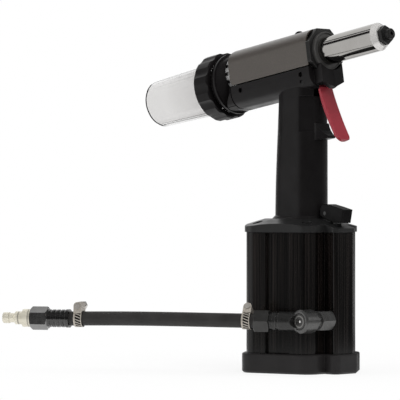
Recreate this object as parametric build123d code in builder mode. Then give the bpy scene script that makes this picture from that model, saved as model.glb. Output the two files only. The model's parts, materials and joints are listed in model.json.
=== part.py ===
# Air-and-oil riveter: every piece in its place, in millimetres.
# Origin at the middle of the boot's underside, X towards the nose, Y to the tool's left, Z up.
import os
from math import asin, cos, pi, radians, sin

from build123d import *

os.makedirs("parts", exist_ok=True)

# Clearances and fits
RUN = 0.05
FREE = 0.35
SEAT = 0.5
EDGE = 0.6
SOFT = 1.5

# Air cylinder at the base
SIDES = 5
HEX = 6
FULL_TURN = 360
LOBE_STEP = FULL_TURN / SIDES
SCREW_CIRCLE = 42.0
LOBE_R = 10.5
FLAT_REACH = SCREW_CIRCLE * cos(pi / SIDES) + LOBE_R
GROOVE_W = 24.0
GROOVE_D = 3.5
BLOCK_X = 58.3
BLOCK_HALF = 12.7
BLOCK_CORNER = 3.0
AIR_BORE = 35.0
BOOT_FLOOR = 5.0
BOOT_TOP = 18.0
BOOT_WALL = 4.0
BOOT_CHAMFER = 1.6
CAP_TOP = 13.0
SPIGOT_TOP = 19.0
TUBE_TOP = 127.5
GASKET = 0.5
PLATE_BOTTOM = TUBE_TOP + GASKET
RIM_H = 5.0
RIM_TOP = PLATE_BOTTOM + RIM_H
PLATE_OVER = 1.5
PLATE_TOP = PLATE_BOTTOM + 12.0
CONE_OUT = 54.5
CONE_IN = 31.0
SCREW_R = 2.5
SCREW_HEAD_R = 4.25
SCREW_HEAD_H = 5.0
COUNTERBORE_R = 4.8
PLATE_SCREW_SEAT = PLATE_BOTTOM + 2.0
PLATE_SCREW_END = TUBE_TOP - 19.5
CAP_SCREW_END = 30.0
KEY_R = 2.3
KEY_DEPTH = 2.5
CAP_RING_IN = 32.4
CAP_RING_LOW = 14.5
CAP_RING_HIGH = 17.0

# Air piston and ram
PISTON_LOW = 21.0
PISTON_H = 14.0
PISTON_HIGH = PISTON_LOW + PISTON_H
PISTON_RING_LOW = 26.0
PISTON_RING_H = 4.0
PISTON_RING_IN = 31.0
RAM_R = 7.5
RAM_STUD_R = 5.0
RAM_TOP = PLATE_TOP + 10.0
RAM_TIP = 1.5
BUSH_R = 13.0
BUSH_FLANGE_R = 18.0
BUSH_LOW = PLATE_BOTTOM - 6.0
BUSH_HIGH = PLATE_TOP + 10.0
RAM_SEAL_R = 10.0
RAM_SEAL_LOW = PLATE_BOTTOM + 2.0
RAM_SEAL_H = 3.5
OIL_TUBE_R = 11.0
OIL_TUBE_IN = 8.2
OIL_TUBE_SEAT = PLATE_TOP + 1.0

# Head, measured along and across its own tilted axis
TILT = 9.0
AXIS_Z = PLATE_TOP + 146.7
BORE_R = 16.0
HEAD_WALL = 2.5
HEAD_R = BORE_R + HEAD_WALL
HEAD_REAR = -66.0
HEAD_STEP = 24.0
HEAD_FRONT = 33.0
BORE_FRONT = 12.0
ROD_WALL_END = 20.0
NOSE_BORE = 11.3
HEAD_NECK_R = NOSE_BORE + 4.7
OIL_BOSS_R = 13.6
OIL_BOSS_LOW = AXIS_Z - 32.7
OIL_TUBE_TOP = AXIS_Z - 20.7
OIL_WAY_R = 4.0
ROD_R = 9.0
ROD_SEAL_R = 11.5
ROD_SEAL_START = 14.0
ROD_SEAL_END = 17.5
PULL_BACK = -14.0
PULL_FRONT = -2.0
PULL_RING_START = -10.5
PULL_RING_END = -6.5
PULL_RING_IN = 13.2
PULL_WAY = 3.2
TAIL_R = 4.0
TAIL_SOCKET = -8.0
TAIL_END = -104.0
ROD_END = 52.0
ROD_THREAD_R = 7.6

# Jaws and their housing
HOUSING_START = 44.0
HOUSING_END = 92.0
HOUSING_R = 10.8
JAW_BACK = 72.0
JAW_FRONT = 86.0
JAW_CONE_START = 70.0
JAW_CONE_BACK_R = 8.2
JAW_CONE_FRONT_R = 5.6
JAW_HOLE = 1.9
JAW_SPLIT = 0.8
JAWS = 3
FIRST, SECOND, THIRD = range(JAWS)
PUSHER_START = 61.0
PUSHER_R = 7.4
PUSHER_WAY = 3.0
JAW_COIL_R = 5.8
JAW_WIRE_R = 0.6
JAW_COIL_TURNS = 4.0

# Saddle cover over the head
COVER_REAR = -71.0
COVER_FRONT = 30.2
COVER_WALL = 1.6
COVER_AIR = 0.4
COVER_HALF = HEAD_R + COVER_AIR + COVER_WALL
COVER_TOP = COVER_HALF + 1.0
COVER_LOW = -13.4
COVER_SHOULDER = 14.0
COVER_CORNER = 6.0
OIL_PLUG_S = 4.6
OIL_PLUG_R = 4.8
OIL_PLUG_STEM = 3.5
OIL_PLUG_SEAT = BORE_R + 0.2
OIL_PLUG_DOME = 3.6
DOME_BALL = (OIL_PLUG_R ** 2 + OIL_PLUG_DOME ** 2) / (2 * OIL_PLUG_DOME)
DOME_MID = asin(OIL_PLUG_R / DOME_BALL) / 2

# Nose
SLEEVE_IN = NOSE_BORE
SLEEVE_R = SLEEVE_IN + 1.4
SLEEVE_END = 101.0
SLEEVE_FLANGE_R = 14.6
SLEEVE_FLANGE_END = 35.0
SLEEVE_WALL = 97.0
SLEEVE_LIP = 106.0
SLEEVE_LIP_R = 9.6
NOSE_THREAD_R = 5.0
NOSE_TAIL_R = 4.4
NOSE_TAIL_START = 87.5
NOSE_HEX = 7.6
NOSE_HEX_END = 110.0
NOSE_HEX_TURN = 36.0
NOSE_TIP_R = 4.8
NOSE_TIP = 116.0
NOSE_HOLE = 1.8
NUT_START = 30.5
NUT_STEP = 35.0
NUT_END = 38.2
NUT_FLAT = COVER_HALF + 0.7
NUT_FACETS = 8
NUT_TURN = FULL_TURN / NUT_FACETS / 2
NUT_RING_R = 17.8
NUT_RECESS_R = 16.4
NUT_RECESS = 37.2

# Rear of the head and catch bottle, on an axis a little lower than the nose
REAR_DROP = 7.0
BOTTLE_NECK_R = 24.4
RING_R = HEAD_R + 0.7
RING_START = -77.0
RING_END = -71.4
RING_NOTCHES = 16
NOTCH_W = 3.4
NOTCH_D = 2.0
PLUG_END = -54.0
CAP_TAIL_R = 11.0
CAP_TAIL_END = -95.0
REAR_SEAL_R = 7.0
REAR_SEAL_START = -62.0
REAR_SEAL_END = -58.5
CUP_R = BOTTLE_NECK_R + 2.1
RIM_R = BOTTLE_NECK_R + 4.2
RIM_START = -85.6
RIM_END = -83.4
CHIN_FRONT = -72.2
CHIN_BACK = -83.0
CHIN_ROOF = -18.0
CHIN_TAIL = -31.0
CHIN_NECK = 15.5
SPIGOT_R = BOTTLE_NECK_R - 1.9
SPIGOT_END = -97.0
LUG_R = BOTTLE_NECK_R - 1.0
LUG_START = -96.5
LUG_END = -93.5
LUG_W = 8.0
LUGS = 3
RIBBED_R = BOTTLE_NECK_R + 1.8
RIBBED_END = -91.8
RIB_COUNT = 48
RIB_CUT = 0.45
COLLAR_R = BOTTLE_NECK_R + 7.0
COLLAR_FRONT = -91.3
COLLAR_REAR = -109.6
COLLAR_LIP_END = -93.0
COLLAR_SEAT = -101.0
SCALLOPS = 12
SCALLOP_R = 12.0
SCALLOP_D = 1.3
COLLAR_EDGE = 1.2
BOTTLE_FLANGE_R = BOTTLE_NECK_R + 2.8
BOTTLE_FLANGE_T = 3.0
BOTTLE_END_R = BOTTLE_NECK_R - 2.0
BOTTLE_END = -189.2
BOTTLE_WALL = 2.0
BOTTLE_CORNER = 3.0
PANELS = 8
PANEL_CUT = 0.6

# Grip halves
HANDLE_TOP = AXIS_Z - 24.7
GRIP_SHARES = (0.0, 0.15, 0.49, 0.86, 1.0)
GRIP_REARS = (-22.8, -22.6, -21.0, -18.6, -18.0)
GRIP_FRONT = 30.4
GRIP_HALVES = (17.6, 17.5, 17.3, 17.3, 17.3)
FOOT_H = 3.5
FOOT_OUT = 3.0
FOOT_AHEAD = 0.6
FLAT_LOW = AXIS_Z - 67.7
FLAT_HIGH = AXIS_Z - 34.7
FLAT_REAR = 16.0
FLAT_NOSE = 7.0
GRIP_WALL = 3.0
BELLY_LOW = -33.6
BELLY_HALF = COVER_HALF
BELLY_ROUND = 14.0
BELLY_REAR = -71.0
BELLY_FRONT = 30.0
BELLY_WALL = 3.0
CAVITY_FRONT = 20.0
PROW_FRONT = 41.7
PROW_SIDE = 40.2
PROW_HALF = 14.0
PROW_KEEL = 5.4
PROW_LOW = -34.3
PROW_TOP = -8.0
PROW_BACK = 14.0
SPLIT = 80.0
SPLIT_TALL = 400.0
SCREW_SPOTS = ((-55.3, -27.6), (21.8, -15.7))
SCREW_BOSS_R = 4.2
GRIP_SCREW_R = 1.5
GRIP_SCREW_HEAD_R = 2.1
GRIP_SCREW_HEAD_H = 2.0
GRIP_SCREW_SINK = 15.5
GRIP_SCREW_LONG = 28.0
GRIP_SCREW_WELL = 2.4
REST_POINTS = ((26.0, -58.7), (30.6, -60.1), (31.9, -63.4), (34.5, -66.6), (38.0, -69.4), (41.6, -71.3),
               (42.6, -72.3), (42.3, -73.5), (30.0, -74.7), (26.0, -74.7))
REST_HALF = 8.5
REST_TIP = 43.0
REST_TIP_HALF = 3.8

# Trigger and its valve
PIVOT_X = 22.0
PIVOT_Z = AXIS_Z - 22.7
TRIGGER_PIN_R = 2.0
TRIGGER_HUB_R = 4.6
TRIGGER_PIN_HALF = 18.2
TRIGGER_HALF = 8.4
TRIGGER_FACE = ((35.0, -27.2), (38.6, -36.7), (43.8, -48.2), (50.0, -60.7), (58.4, -75.1))
TRIGGER_BACK = ((55.4, -77.1), (46.0, -60.7), (39.4, -48.2), (34.8, -36.7), (32.4, -28.4))
TRIGGER_ROOF = (25.0, -19.2)
TRIGGER_HEEL = (18.0, -26.7)
TONGUE_Z = -68.7
TONGUE_TIP = 8.6
TRIGGER_EDGE = 0.8
SLOT_REAR = 14.0
SLOT_FRONT = 39.5
SLOT_LOW = AXIS_Z - 35.5
SLOT_HIGH = AXIS_Z - 16.2
VALVE_Z = AXIS_Z - 41.7
VALVE_REAR = 12.4
POCKET_HALF = 9.0
POCKET_WALL = 2.0
VALVE_FRONT = 26.6
VALVE_R = 5.6
VALVE_ROOM_R = 3.6
VALVE_ROOM_START = 14.4
VALVE_ROOM_END = 24.0
STEM_R = 2.0
STEM_TIP = 35.0
STEM_REAR = 19.5
STEM_COLLAR_R = 3.2
STEM_COLLAR_START = 20.6
STEM_COLLAR_END = 22.4
STEM_COIL_R = 2.7
STEM_WIRE_R = 0.35
STEM_COIL_TURNS = 4.0
PILOT_X = 20.0
PILOT_R = 2.0
PILOT_IN = 1.2

# Lever and plunger on the plate
LEVER_PIN_X = 38.8
LEVER_PIN_Z = PLATE_TOP + 5.0
LEVER_PIN_R = 1.8
LEVER_HALF = 6.6
LEVER_PIN_HALF = LEVER_HALF - 0.2
LEVER_SIDE = ((33.0, 2.8), (41.2, -1.1), (50.5, -3.6), (59.6, -3.8), (62.0, 8.2), (51.5, 10.9), (41.2, 13.2),
              (35.5, 13.2), (33.0, 9.0))
LEVER_EDGE = 0.8
LUG_HALF = 3.2
LUG_THICK = 1.8
LUG_FOOT = PLATE_TOP - 6.0
LEVER_SLOT_LOW = PLATE_TOP - 10.0
LEVER_SLOT_GAP = 0.6
LEVER_SLOT_REACH = 8.2
PLUNGER_X = 50.0
PLUNGER_R = 3.0
PLUNGER_TOP = PLATE_TOP - 4.1
PLUNGER_LOW = TUBE_TOP - 9.5
PLUNGER_FOOT_R = 3.4
PLUNGER_FOOT_H = 3.0
PLUNGER_ROOM_R = 3.8
PLUNGER_ROOM_LOW = TUBE_TOP - 23.5
PLUNGER_COIL_R = 2.7
PLUNGER_WIRE_R = 0.45
PLUNGER_COIL_TURNS = 5.0
AIR_WAY_R = 2.4
AIR_WAY_Z = TUBE_TOP - 17.5

# Inlet stub, swivel and hose line
INLET_X = 50.0
INLET_Z = 48.4
PORT_R = 4.85
PORT_DEPTH = 10.0
STUB_HEX = 8.4
STUB_HEX_END = 29.0
STUB_NECK_R = 7.0
STUB_NECK_END = 34.6
SHAFT_R = 5.5
SHAFT_END = 49.8
STUB_WAY = 2.6
STUB_WAY_END = 44.0
SWIVEL_START = 35.0
SWIVEL_END = 51.6
SWIVEL_R = 10.6
SWIVEL_EDGE = 1.5
SWIVEL_RECESS_R = 7.6
SWIVEL_RECESS = 49.4
KEEPER_R = 7.0
KEEPER_H = 1.6
KEEPER_KEY = 0.9
KEEPER_SHANK_R = 2.0
KEEPER_SHANK = 8.0
SEAL_SPOTS = (38.2, 46.4)
SEAL_HALF = 0.9
SEAL_DEPTH = 1.4
ARM_Y = -43.0
ARM_YAW = 31.0
ARM_R = 8.6
ARM_END = 24.0
ARM_WAIST_R = 7.6
ARM_RIB_START = 26.6
ARM_RIB_END = 29.4
ARM_NECK_END = 32.6
ARM_SPIGOT_R = 6.0
ARM_SPIGOT_END = 40.2
ARM_WAY = 2.6
NUT_AF = 9.5
HOSE_NUT_END = 46.5
TAIL_FLANGE_END = 45.6
TAIL_BARB_END = 73.0
TAIL_WAY = 2.6
HOSE_END = 221.0
HOSE_R = 6.5
HOSE_IN = 4.0
CLAMP_SPOTS = (50.2, 208.2)
CLAMP_LEANS = (35.0, 0.0)
CLAMP_W = 7.6
CLAMP_BAND = 0.8
CLAMP_BOX_HALF = 6.2
CLAMP_BOX_FOOT = 5.2
WORM_LIFT = 4.3
WORM_R = 2.7
WORM_END = 0.8
WORM_HEAD_R = 3.7
WORM_HEAD_H = 6.5
WORM_SLOT = 0.9
FITTING_BARB_START = 199.0
FITTING_FLANGE_END = 224.0
FITTING_FLANGE_R = 8.5
FITTING_RIB_R = 8.2
FITTING_VALLEY_R = 7.2
FITTING_RIBS = 4
FITTING_HEX = 10.5
HEX_BEVEL = 1.4
FITTING_HEX_START = 241.4
FITTING_HEX_END = 257.8
FITTING_SOCKET = 248.0
PLUG_THREAD_R = 5.5
PLUG_COLLAR_R = 8.2
PLUG_COLLAR_END = 265.8
PLUG_BARREL_R = 6.0
PLUG_BARREL_END = 274.6
PLUG_GROOVE_R = 4.3
PLUG_GROOVE_END = 279.4
PLUG_TIP_R = 5.0
PLUG_TIP_END = 285.4
PLUG_WAY = 3.4
PLUG_CONE = 1.6


def line_frame(origin, along, across):
    # A plane whose X runs along a part's axis and whose Y points across it.
    return Plane(origin=origin, x_dir=along, z_dir=Vector(along).cross(Vector(across)))


def station(frame, place):
    # The plane square to a frame's axis at a place along it, its Y the same way as the frame's.
    return Plane(origin=frame.origin + frame.x_dir * place, x_dir=-frame.z_dir, z_dir=frame.x_dir)


def turned(frame, points, mode=Mode.ADD):
    # A solid turned about the frame's axis from (place, radius) corners.
    with BuildSketch(frame) as outline:
        with BuildLine():
            Polyline(*points, close=True)
        make_face()
    revolve(outline.sketch, axis=Axis(frame.origin, frame.x_dir), mode=mode)


def sleeve(frame, start, end, outer, inner=0, mode=Mode.ADD):
    # A plain bar, or a tube where an inner radius is given.
    turned(frame, ((start, inner), (end, inner), (end, outer), (start, outer)), mode)


def flats(frame, start, end, across, sides, turn=0, mode=Mode.ADD):
    # A bar of flat sides, given by the radius to its flats.
    with BuildSketch(station(frame, start)) as outline:
        RegularPolygon(across, sides, major_radius=False, rotation=turn)
    extrude(outline.sketch, amount=end - start, mode=mode)


def hex_bar(frame, start, end, across):
    # A hexagon bar with its corners turned off at both ends.
    flats(frame, start, end, across, HEX)
    corner = across / cos(pi / HEX) + EDGE
    turned(frame, ((start, 0), (start, across), (start + HEX_BEVEL, corner), (end - HEX_BEVEL, corner),
                   (end, across), (end, 0)), Mode.INTERSECT)


def base_outline(plane, grow, height, mode=Mode.ADD):
    # The five-lobed outline with the valve block in front, grown all round.
    with BuildSketch(plane) as outline:
        RegularPolygon(FLAT_REACH + grow, SIDES, major_radius=False, rotation=LOBE_STEP / 2)
        fillet(outline.vertices(), LOBE_R + grow)
        with Locations(((BLOCK_X + grow) / 2, 0)):
            RectangleRounded(BLOCK_X + grow, 2 * (BLOCK_HALF + grow), BLOCK_CORNER + grow)
    extrude(outline.sketch, amount=height, mode=mode)


def lobe_bars(start, end, radius, mode=Mode.ADD):
    # One upright bar at each lobe.
    with BuildSketch(Plane.XY.offset(start)) as spots:
        with PolarLocations(SCREW_CIRCLE, SIDES, start_angle=LOBE_STEP / 2):
            Circle(radius)
    extrude(spots.sketch, amount=end - start, mode=mode)


def lobe_keys(start, end):
    # One hexagon key recess at each lobe.
    with BuildSketch(Plane.XY.offset(start)) as spots:
        with PolarLocations(SCREW_CIRCLE, SIDES, start_angle=LOBE_STEP / 2):
            RegularPolygon(KEY_R, HEX)
    extrude(spots.sketch, amount=end - start, mode=Mode.SUBTRACT)


def coil(frame, start, end, radius, wire, turns):
    # A wound spring: one unbroken wire from end to end.
    rise = end - start - 2 * wire
    foot = frame.origin + frame.x_dir * (start + wire)
    with BuildLine() as path:
        Helix(pitch=rise / turns, height=rise, radius=radius, center=foot, direction=frame.x_dir)
    with BuildSketch(Plane(origin=path.line @ 0, z_dir=path.line % 0)) as wire_face:
        Circle(wire)
    sweep(wire_face.sketch, path=path.line)


LIFT = (0, 0, 1)
AHEAD = (1, 0, 0)
RIGHT = (0, -1, 0)
UPRIGHT = line_frame((0, 0, 0), LIFT, AHEAD)
NOSE_DIR = (cos(radians(TILT)), 0, sin(radians(TILT)))
HEAD_UP = (-sin(radians(TILT)), 0, cos(radians(TILT)))
HEAD = line_frame((0, 0, AXIS_Z), NOSE_DIR, HEAD_UP)
REAR_ORIGIN = (REAR_DROP * sin(radians(TILT)), 0, AXIS_Z - REAR_DROP * cos(radians(TILT)))
REAR = line_frame(REAR_ORIGIN, NOSE_DIR, HEAD_UP)
VALVE = line_frame((0, 0, VALVE_Z), AHEAD, LIFT)
INLET = line_frame((INLET_X, 0, INLET_Z), RIGHT, LIFT)
ARM_DIR = (-cos(radians(ARM_YAW)), -sin(radians(ARM_YAW)), 0)
ARM = line_frame((INLET_X, ARM_Y, INLET_Z), ARM_DIR, LIFT)
PLUNGER = line_frame((PLUNGER_X, 0, 0), LIFT, AHEAD)
PILOT = line_frame((PILOT_X, 0, 0), LIFT, AHEAD)
PIVOT = line_frame((PIVOT_X, 0, PIVOT_Z), RIGHT, LIFT)
LEVER = line_frame((LEVER_PIN_X, 0, LEVER_PIN_Z), RIGHT, LIFT)

OIL = line_frame(HEAD.origin + HEAD.x_dir * OIL_PLUG_S, HEAD_UP, NOSE_DIR)
PLATE_SIDE = Plane(origin=(0, 0, PLATE_TOP), x_dir=AHEAD, z_dir=RIGHT)
HEAD_SIDE = Plane(origin=(0, 0, AXIS_Z), x_dir=AHEAD, z_dir=RIGHT)
PROW_PLAN = Plane(origin=HEAD.origin, x_dir=NOSE_DIR, z_dir=HEAD_UP)


def side_bar(spot, start, end, radius, mode=Mode.ADD):
    # A bar across the tool at a place seen from its right side.
    place_x, place_z = spot
    sleeve(line_frame((place_x, 0, AXIS_Z + place_z), RIGHT, LIFT), start, end, radius, mode=mode)


def belly_run(start, end, inset, roof, mode=Mode.ADD):
    # The rounded trough under the head.
    with BuildSketch(station(HEAD, start)) as trough:
        with Locations((0, (roof + BELLY_LOW + inset) / 2)):
            Rectangle(2 * (BELLY_HALF - inset), roof - BELLY_LOW - inset)
        fillet(trough.vertices().group_by(Axis.Y)[0], BELLY_ROUND - inset)
    extrude(trough.sketch, amount=end - start, mode=mode)


# Base: tube, plate, cap, boot

with BuildPart() as cylinder_tube:
    base_outline(Plane.XY.offset(CAP_TOP), 0, TUBE_TOP - CAP_TOP)
    with BuildSketch(Plane.XY.offset(CAP_TOP)):
        with PolarLocations(FLAT_REACH, SIDES - 1, LOBE_STEP, FULL_TURN - 2 * LOBE_STEP, endpoint=True):
            Rectangle(2 * GROOVE_D, GROOVE_W)
    extrude(amount=TUBE_TOP - CAP_TOP, mode=Mode.SUBTRACT)
    sleeve(UPRIGHT, CAP_TOP, TUBE_TOP, AIR_BORE, mode=Mode.SUBTRACT)
    lobe_bars(CAP_TOP, CAP_SCREW_END, SCREW_R, Mode.SUBTRACT)
    lobe_bars(PLATE_SCREW_END, TUBE_TOP, SCREW_R, Mode.SUBTRACT)
    sleeve(INLET, BLOCK_HALF - PORT_DEPTH, BLOCK_HALF, PORT_R, mode=Mode.SUBTRACT)
    sleeve(INLET, BLOCK_HALF, FLAT_REACH, STUB_HEX / cos(pi / HEX) + SEAT, mode=Mode.SUBTRACT)
    sleeve(PLUNGER, PLUNGER_ROOM_LOW, TUBE_TOP, PLUNGER_ROOM_R, mode=Mode.SUBTRACT)
    with BuildSketch(Plane.XY.offset(INLET_Z)):
        with Locations((INLET_X, 0)):
            Circle(AIR_WAY_R)
    extrude(amount=PLUNGER_ROOM_LOW - INLET_Z + PLUNGER_R, mode=Mode.SUBTRACT)
    with BuildSketch(Plane.YZ.offset(AIR_BORE - GROOVE_D)):
        with Locations((0, AIR_WAY_Z)):
            Circle(AIR_WAY_R)
    extrude(amount=PLUNGER_X - AIR_BORE, mode=Mode.SUBTRACT)
cylinder_tube.part.label = "cylinder_tube"
export_step(cylinder_tube.part, "parts/cylinder_tube.step")

with BuildPart() as plate_gasket:
    base_outline(Plane.XY.offset(TUBE_TOP), 0, GASKET)
    sleeve(UPRIGHT, TUBE_TOP, PLATE_BOTTOM, AIR_BORE, mode=Mode.SUBTRACT)
    lobe_bars(TUBE_TOP, PLATE_BOTTOM, SCREW_R, Mode.SUBTRACT)
    sleeve(PLUNGER, TUBE_TOP, PLATE_BOTTOM, PLUNGER_ROOM_R, mode=Mode.SUBTRACT)
plate_gasket.part.label = "plate_gasket"
export_step(plate_gasket.part, "parts/plate_gasket.step")

with BuildPart() as top_plate:
    base_outline(Plane.XY.offset(PLATE_BOTTOM), PLATE_OVER, PLATE_TOP - PLATE_BOTTOM)
    cone_slope = (PLATE_TOP - RIM_TOP) / (CONE_OUT - CONE_IN)
    cone_far = 2 * CONE_OUT
    turned(UPRIGHT, ((PLATE_TOP, CONE_IN), (PLATE_TOP - (cone_far - CONE_IN) * cone_slope, cone_far),
                     (PLATE_TOP, cone_far)), Mode.SUBTRACT)
    with BuildSketch(Plane.XZ):
        with Locations((LEVER_PIN_X, LEVER_PIN_Z)):
            Circle(LUG_HALF)
        with Locations((LEVER_PIN_X, (LUG_FOOT + LEVER_PIN_Z) / 2)):
            Rectangle(2 * LUG_HALF, LEVER_PIN_Z - LUG_FOOT)
    extrude(amount=LUG_THICK, both=True)
    sleeve(LEVER, -LUG_THICK, LUG_THICK, LEVER_PIN_R, mode=Mode.SUBTRACT)
    sleeve(UPRIGHT, PLATE_BOTTOM, PLATE_TOP, BUSH_R, mode=Mode.SUBTRACT)
    lobe_bars(PLATE_BOTTOM, PLATE_SCREW_SEAT, SCREW_R, Mode.SUBTRACT)
    lobe_bars(PLATE_SCREW_SEAT, PLATE_TOP, COUNTERBORE_R, Mode.SUBTRACT)
    sleeve(PLUNGER, PLATE_BOTTOM, PLATE_TOP, PLUNGER_R + RUN, mode=Mode.SUBTRACT)
top_plate.part.label = "top_plate"
export_step(top_plate.part, "parts/top_plate.step")

with BuildPart() as plate_screws:
    lobe_bars(PLATE_SCREW_END, PLATE_SCREW_SEAT, SCREW_R)
    lobe_bars(PLATE_SCREW_SEAT, PLATE_SCREW_SEAT + SCREW_HEAD_H, SCREW_HEAD_R)
    lobe_keys(PLATE_SCREW_SEAT + SCREW_HEAD_H - KEY_DEPTH, PLATE_SCREW_SEAT + SCREW_HEAD_H)
plate_screws.part.label = "plate_screws"
export_step(plate_screws.part, "parts/plate_screws.step")

with BuildPart() as bottom_cap:
    base_outline(Plane.XY.offset(BOOT_FLOOR), 0, CAP_TOP - BOOT_FLOOR)
    sleeve(UPRIGHT, CAP_TOP, SPIGOT_TOP, AIR_BORE)
    sleeve(UPRIGHT, CAP_RING_LOW, CAP_RING_HIGH, AIR_BORE, CAP_RING_IN, Mode.SUBTRACT)
    lobe_bars(BOOT_FLOOR, CAP_TOP, SCREW_R, Mode.SUBTRACT)
    lobe_bars(BOOT_FLOOR, BOOT_FLOOR + SCREW_HEAD_H, SCREW_HEAD_R + SEAT, Mode.SUBTRACT)
bottom_cap.part.label = "bottom_cap"
export_step(bottom_cap.part, "parts/bottom_cap.step")

with BuildPart() as cap_seal:
    sleeve(UPRIGHT, CAP_RING_LOW, CAP_RING_HIGH, AIR_BORE, CAP_RING_IN)
cap_seal.part.label = "cap_seal"
export_step(cap_seal.part, "parts/cap_seal.step")

with BuildPart() as cap_screws:
    lobe_bars(BOOT_FLOOR + SCREW_HEAD_H, CAP_SCREW_END, SCREW_R)
    lobe_bars(BOOT_FLOOR, BOOT_FLOOR + SCREW_HEAD_H, SCREW_HEAD_R)
    lobe_keys(BOOT_FLOOR, BOOT_FLOOR + KEY_DEPTH)
cap_screws.part.label = "cap_screws"
export_step(cap_screws.part, "parts/cap_screws.step")

with BuildPart() as rubber_boot:
    base_outline(Plane.XY, BOOT_WALL, BOOT_TOP)
    chamfer(rubber_boot.faces().sort_by(Axis.Z)[0].edges(), BOOT_CHAMFER)
    fillet(rubber_boot.faces().sort_by(Axis.Z)[-1].edges(), SOFT)
    base_outline(Plane.XY.offset(BOOT_FLOOR), 0, BOOT_TOP - BOOT_FLOOR, Mode.SUBTRACT)
rubber_boot.part.label = "rubber_boot"
export_step(rubber_boot.part, "parts/rubber_boot.step")

# Air piston and ram

with BuildPart() as air_piston:
    sleeve(UPRIGHT, PISTON_LOW, PISTON_HIGH, AIR_BORE - RUN, RAM_STUD_R)
    sleeve(UPRIGHT, PISTON_RING_LOW, PISTON_RING_LOW + PISTON_RING_H, AIR_BORE, PISTON_RING_IN,
           Mode.SUBTRACT)
air_piston.part.label = "air_piston"
export_step(air_piston.part, "parts/air_piston.step")

with BuildPart() as air_piston_seal:
    sleeve(UPRIGHT, PISTON_RING_LOW, PISTON_RING_LOW + PISTON_RING_H, AIR_BORE - RUN, PISTON_RING_IN)
air_piston_seal.part.label = "air_piston_seal"
export_step(air_piston_seal.part, "parts/air_piston_seal.step")

with BuildPart() as ram:
    turned(UPRIGHT, ((PISTON_LOW + SEAT, 0), (PISTON_LOW + SEAT, RAM_STUD_R), (PISTON_HIGH, RAM_STUD_R),
                     (PISTON_HIGH, RAM_R), (RAM_TOP - RAM_TIP, RAM_R), (RAM_TOP, RAM_R - RAM_TIP),
                     (RAM_TOP, 0)))
ram.part.label = "ram"
export_step(ram.part, "parts/ram.step")

with BuildPart() as ram_bush:
    turned(UPRIGHT, ((BUSH_LOW, RAM_R + RUN), (BUSH_LOW, BUSH_FLANGE_R), (PLATE_BOTTOM, BUSH_FLANGE_R),
                     (PLATE_BOTTOM, BUSH_R), (BUSH_HIGH, BUSH_R), (BUSH_HIGH, OIL_TUBE_R),
                     (OIL_TUBE_SEAT, OIL_TUBE_R), (OIL_TUBE_SEAT, RAM_R + RUN)))
    sleeve(UPRIGHT, RAM_SEAL_LOW, RAM_SEAL_LOW + RAM_SEAL_H, RAM_SEAL_R, mode=Mode.SUBTRACT)
ram_bush.part.label = "ram_bush"
export_step(ram_bush.part, "parts/ram_bush.step")

with BuildPart() as ram_seal:
    sleeve(UPRIGHT, RAM_SEAL_LOW, RAM_SEAL_LOW + RAM_SEAL_H, RAM_SEAL_R, RAM_R + RUN)
ram_seal.part.label = "ram_seal"
export_step(ram_seal.part, "parts/ram_seal.step")

with BuildPart() as pressure_tube:
    sleeve(UPRIGHT, OIL_TUBE_SEAT, OIL_TUBE_TOP, OIL_TUBE_R, OIL_TUBE_IN)
pressure_tube.part.label = "pressure_tube"
export_step(pressure_tube.part, "parts/pressure_tube.step")

# Head: cylinder, pull unit, jaws

with BuildPart() as head_cylinder:
    sleeve(HEAD, HEAD_REAR, HEAD_STEP, HEAD_R)
    sleeve(HEAD, HEAD_STEP, HEAD_FRONT, HEAD_NECK_R)
    sleeve(UPRIGHT, OIL_BOSS_LOW, AXIS_Z, OIL_BOSS_R)
    sleeve(HEAD, HEAD_REAR, BORE_FRONT, BORE_R, mode=Mode.SUBTRACT)
    sleeve(HEAD, BORE_FRONT, ROD_WALL_END, ROD_R + RUN, mode=Mode.SUBTRACT)
    sleeve(HEAD, ROD_SEAL_START, ROD_SEAL_END, ROD_SEAL_R, mode=Mode.SUBTRACT)
    sleeve(HEAD, ROD_WALL_END, HEAD_FRONT, NOSE_BORE, mode=Mode.SUBTRACT)
    sleeve(UPRIGHT, OIL_BOSS_LOW, OIL_TUBE_TOP, OIL_TUBE_R, mode=Mode.SUBTRACT)
    sleeve(UPRIGHT, OIL_TUBE_TOP, AXIS_Z, OIL_WAY_R, mode=Mode.SUBTRACT)
    sleeve(OIL, 0, HEAD_R, OIL_PLUG_STEM, mode=Mode.SUBTRACT)
    for spot in SCREW_SPOTS:
        side_bar(spot, -HEAD_R, HEAD_R, GRIP_SCREW_R + FREE, Mode.SUBTRACT)
head_cylinder.part.label = "head_cylinder"
export_step(head_cylinder.part, "parts/head_cylinder.step")

with BuildPart() as rod_seal:
    sleeve(HEAD, ROD_SEAL_START, ROD_SEAL_END, ROD_SEAL_R, ROD_R + RUN)
rod_seal.part.label = "rod_seal"
export_step(rod_seal.part, "parts/rod_seal.step")

with BuildPart() as oil_plug:
    with BuildSketch(OIL) as plug_half:
        with BuildLine():
            dome_foot = (COVER_TOP, OIL_PLUG_R)
            dome_peak = (COVER_TOP + OIL_PLUG_DOME, 0)
            ball_middle = COVER_TOP + OIL_PLUG_DOME - DOME_BALL
            dome_mid = (ball_middle + DOME_BALL * cos(DOME_MID), DOME_BALL * sin(DOME_MID))
            Polyline((OIL_PLUG_SEAT, 0), (OIL_PLUG_SEAT, OIL_PLUG_STEM), (HEAD_R, OIL_PLUG_STEM),
                     (HEAD_R, OIL_PLUG_R), dome_foot)
            ThreePointArc(dome_foot, dome_mid, dome_peak)
            Line(dome_peak, (OIL_PLUG_SEAT, 0))
        make_face()
    revolve(axis=Axis(OIL.origin, OIL.x_dir))
oil_plug.part.label = "oil_plug"
export_step(oil_plug.part, "parts/oil_plug.step")

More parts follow.
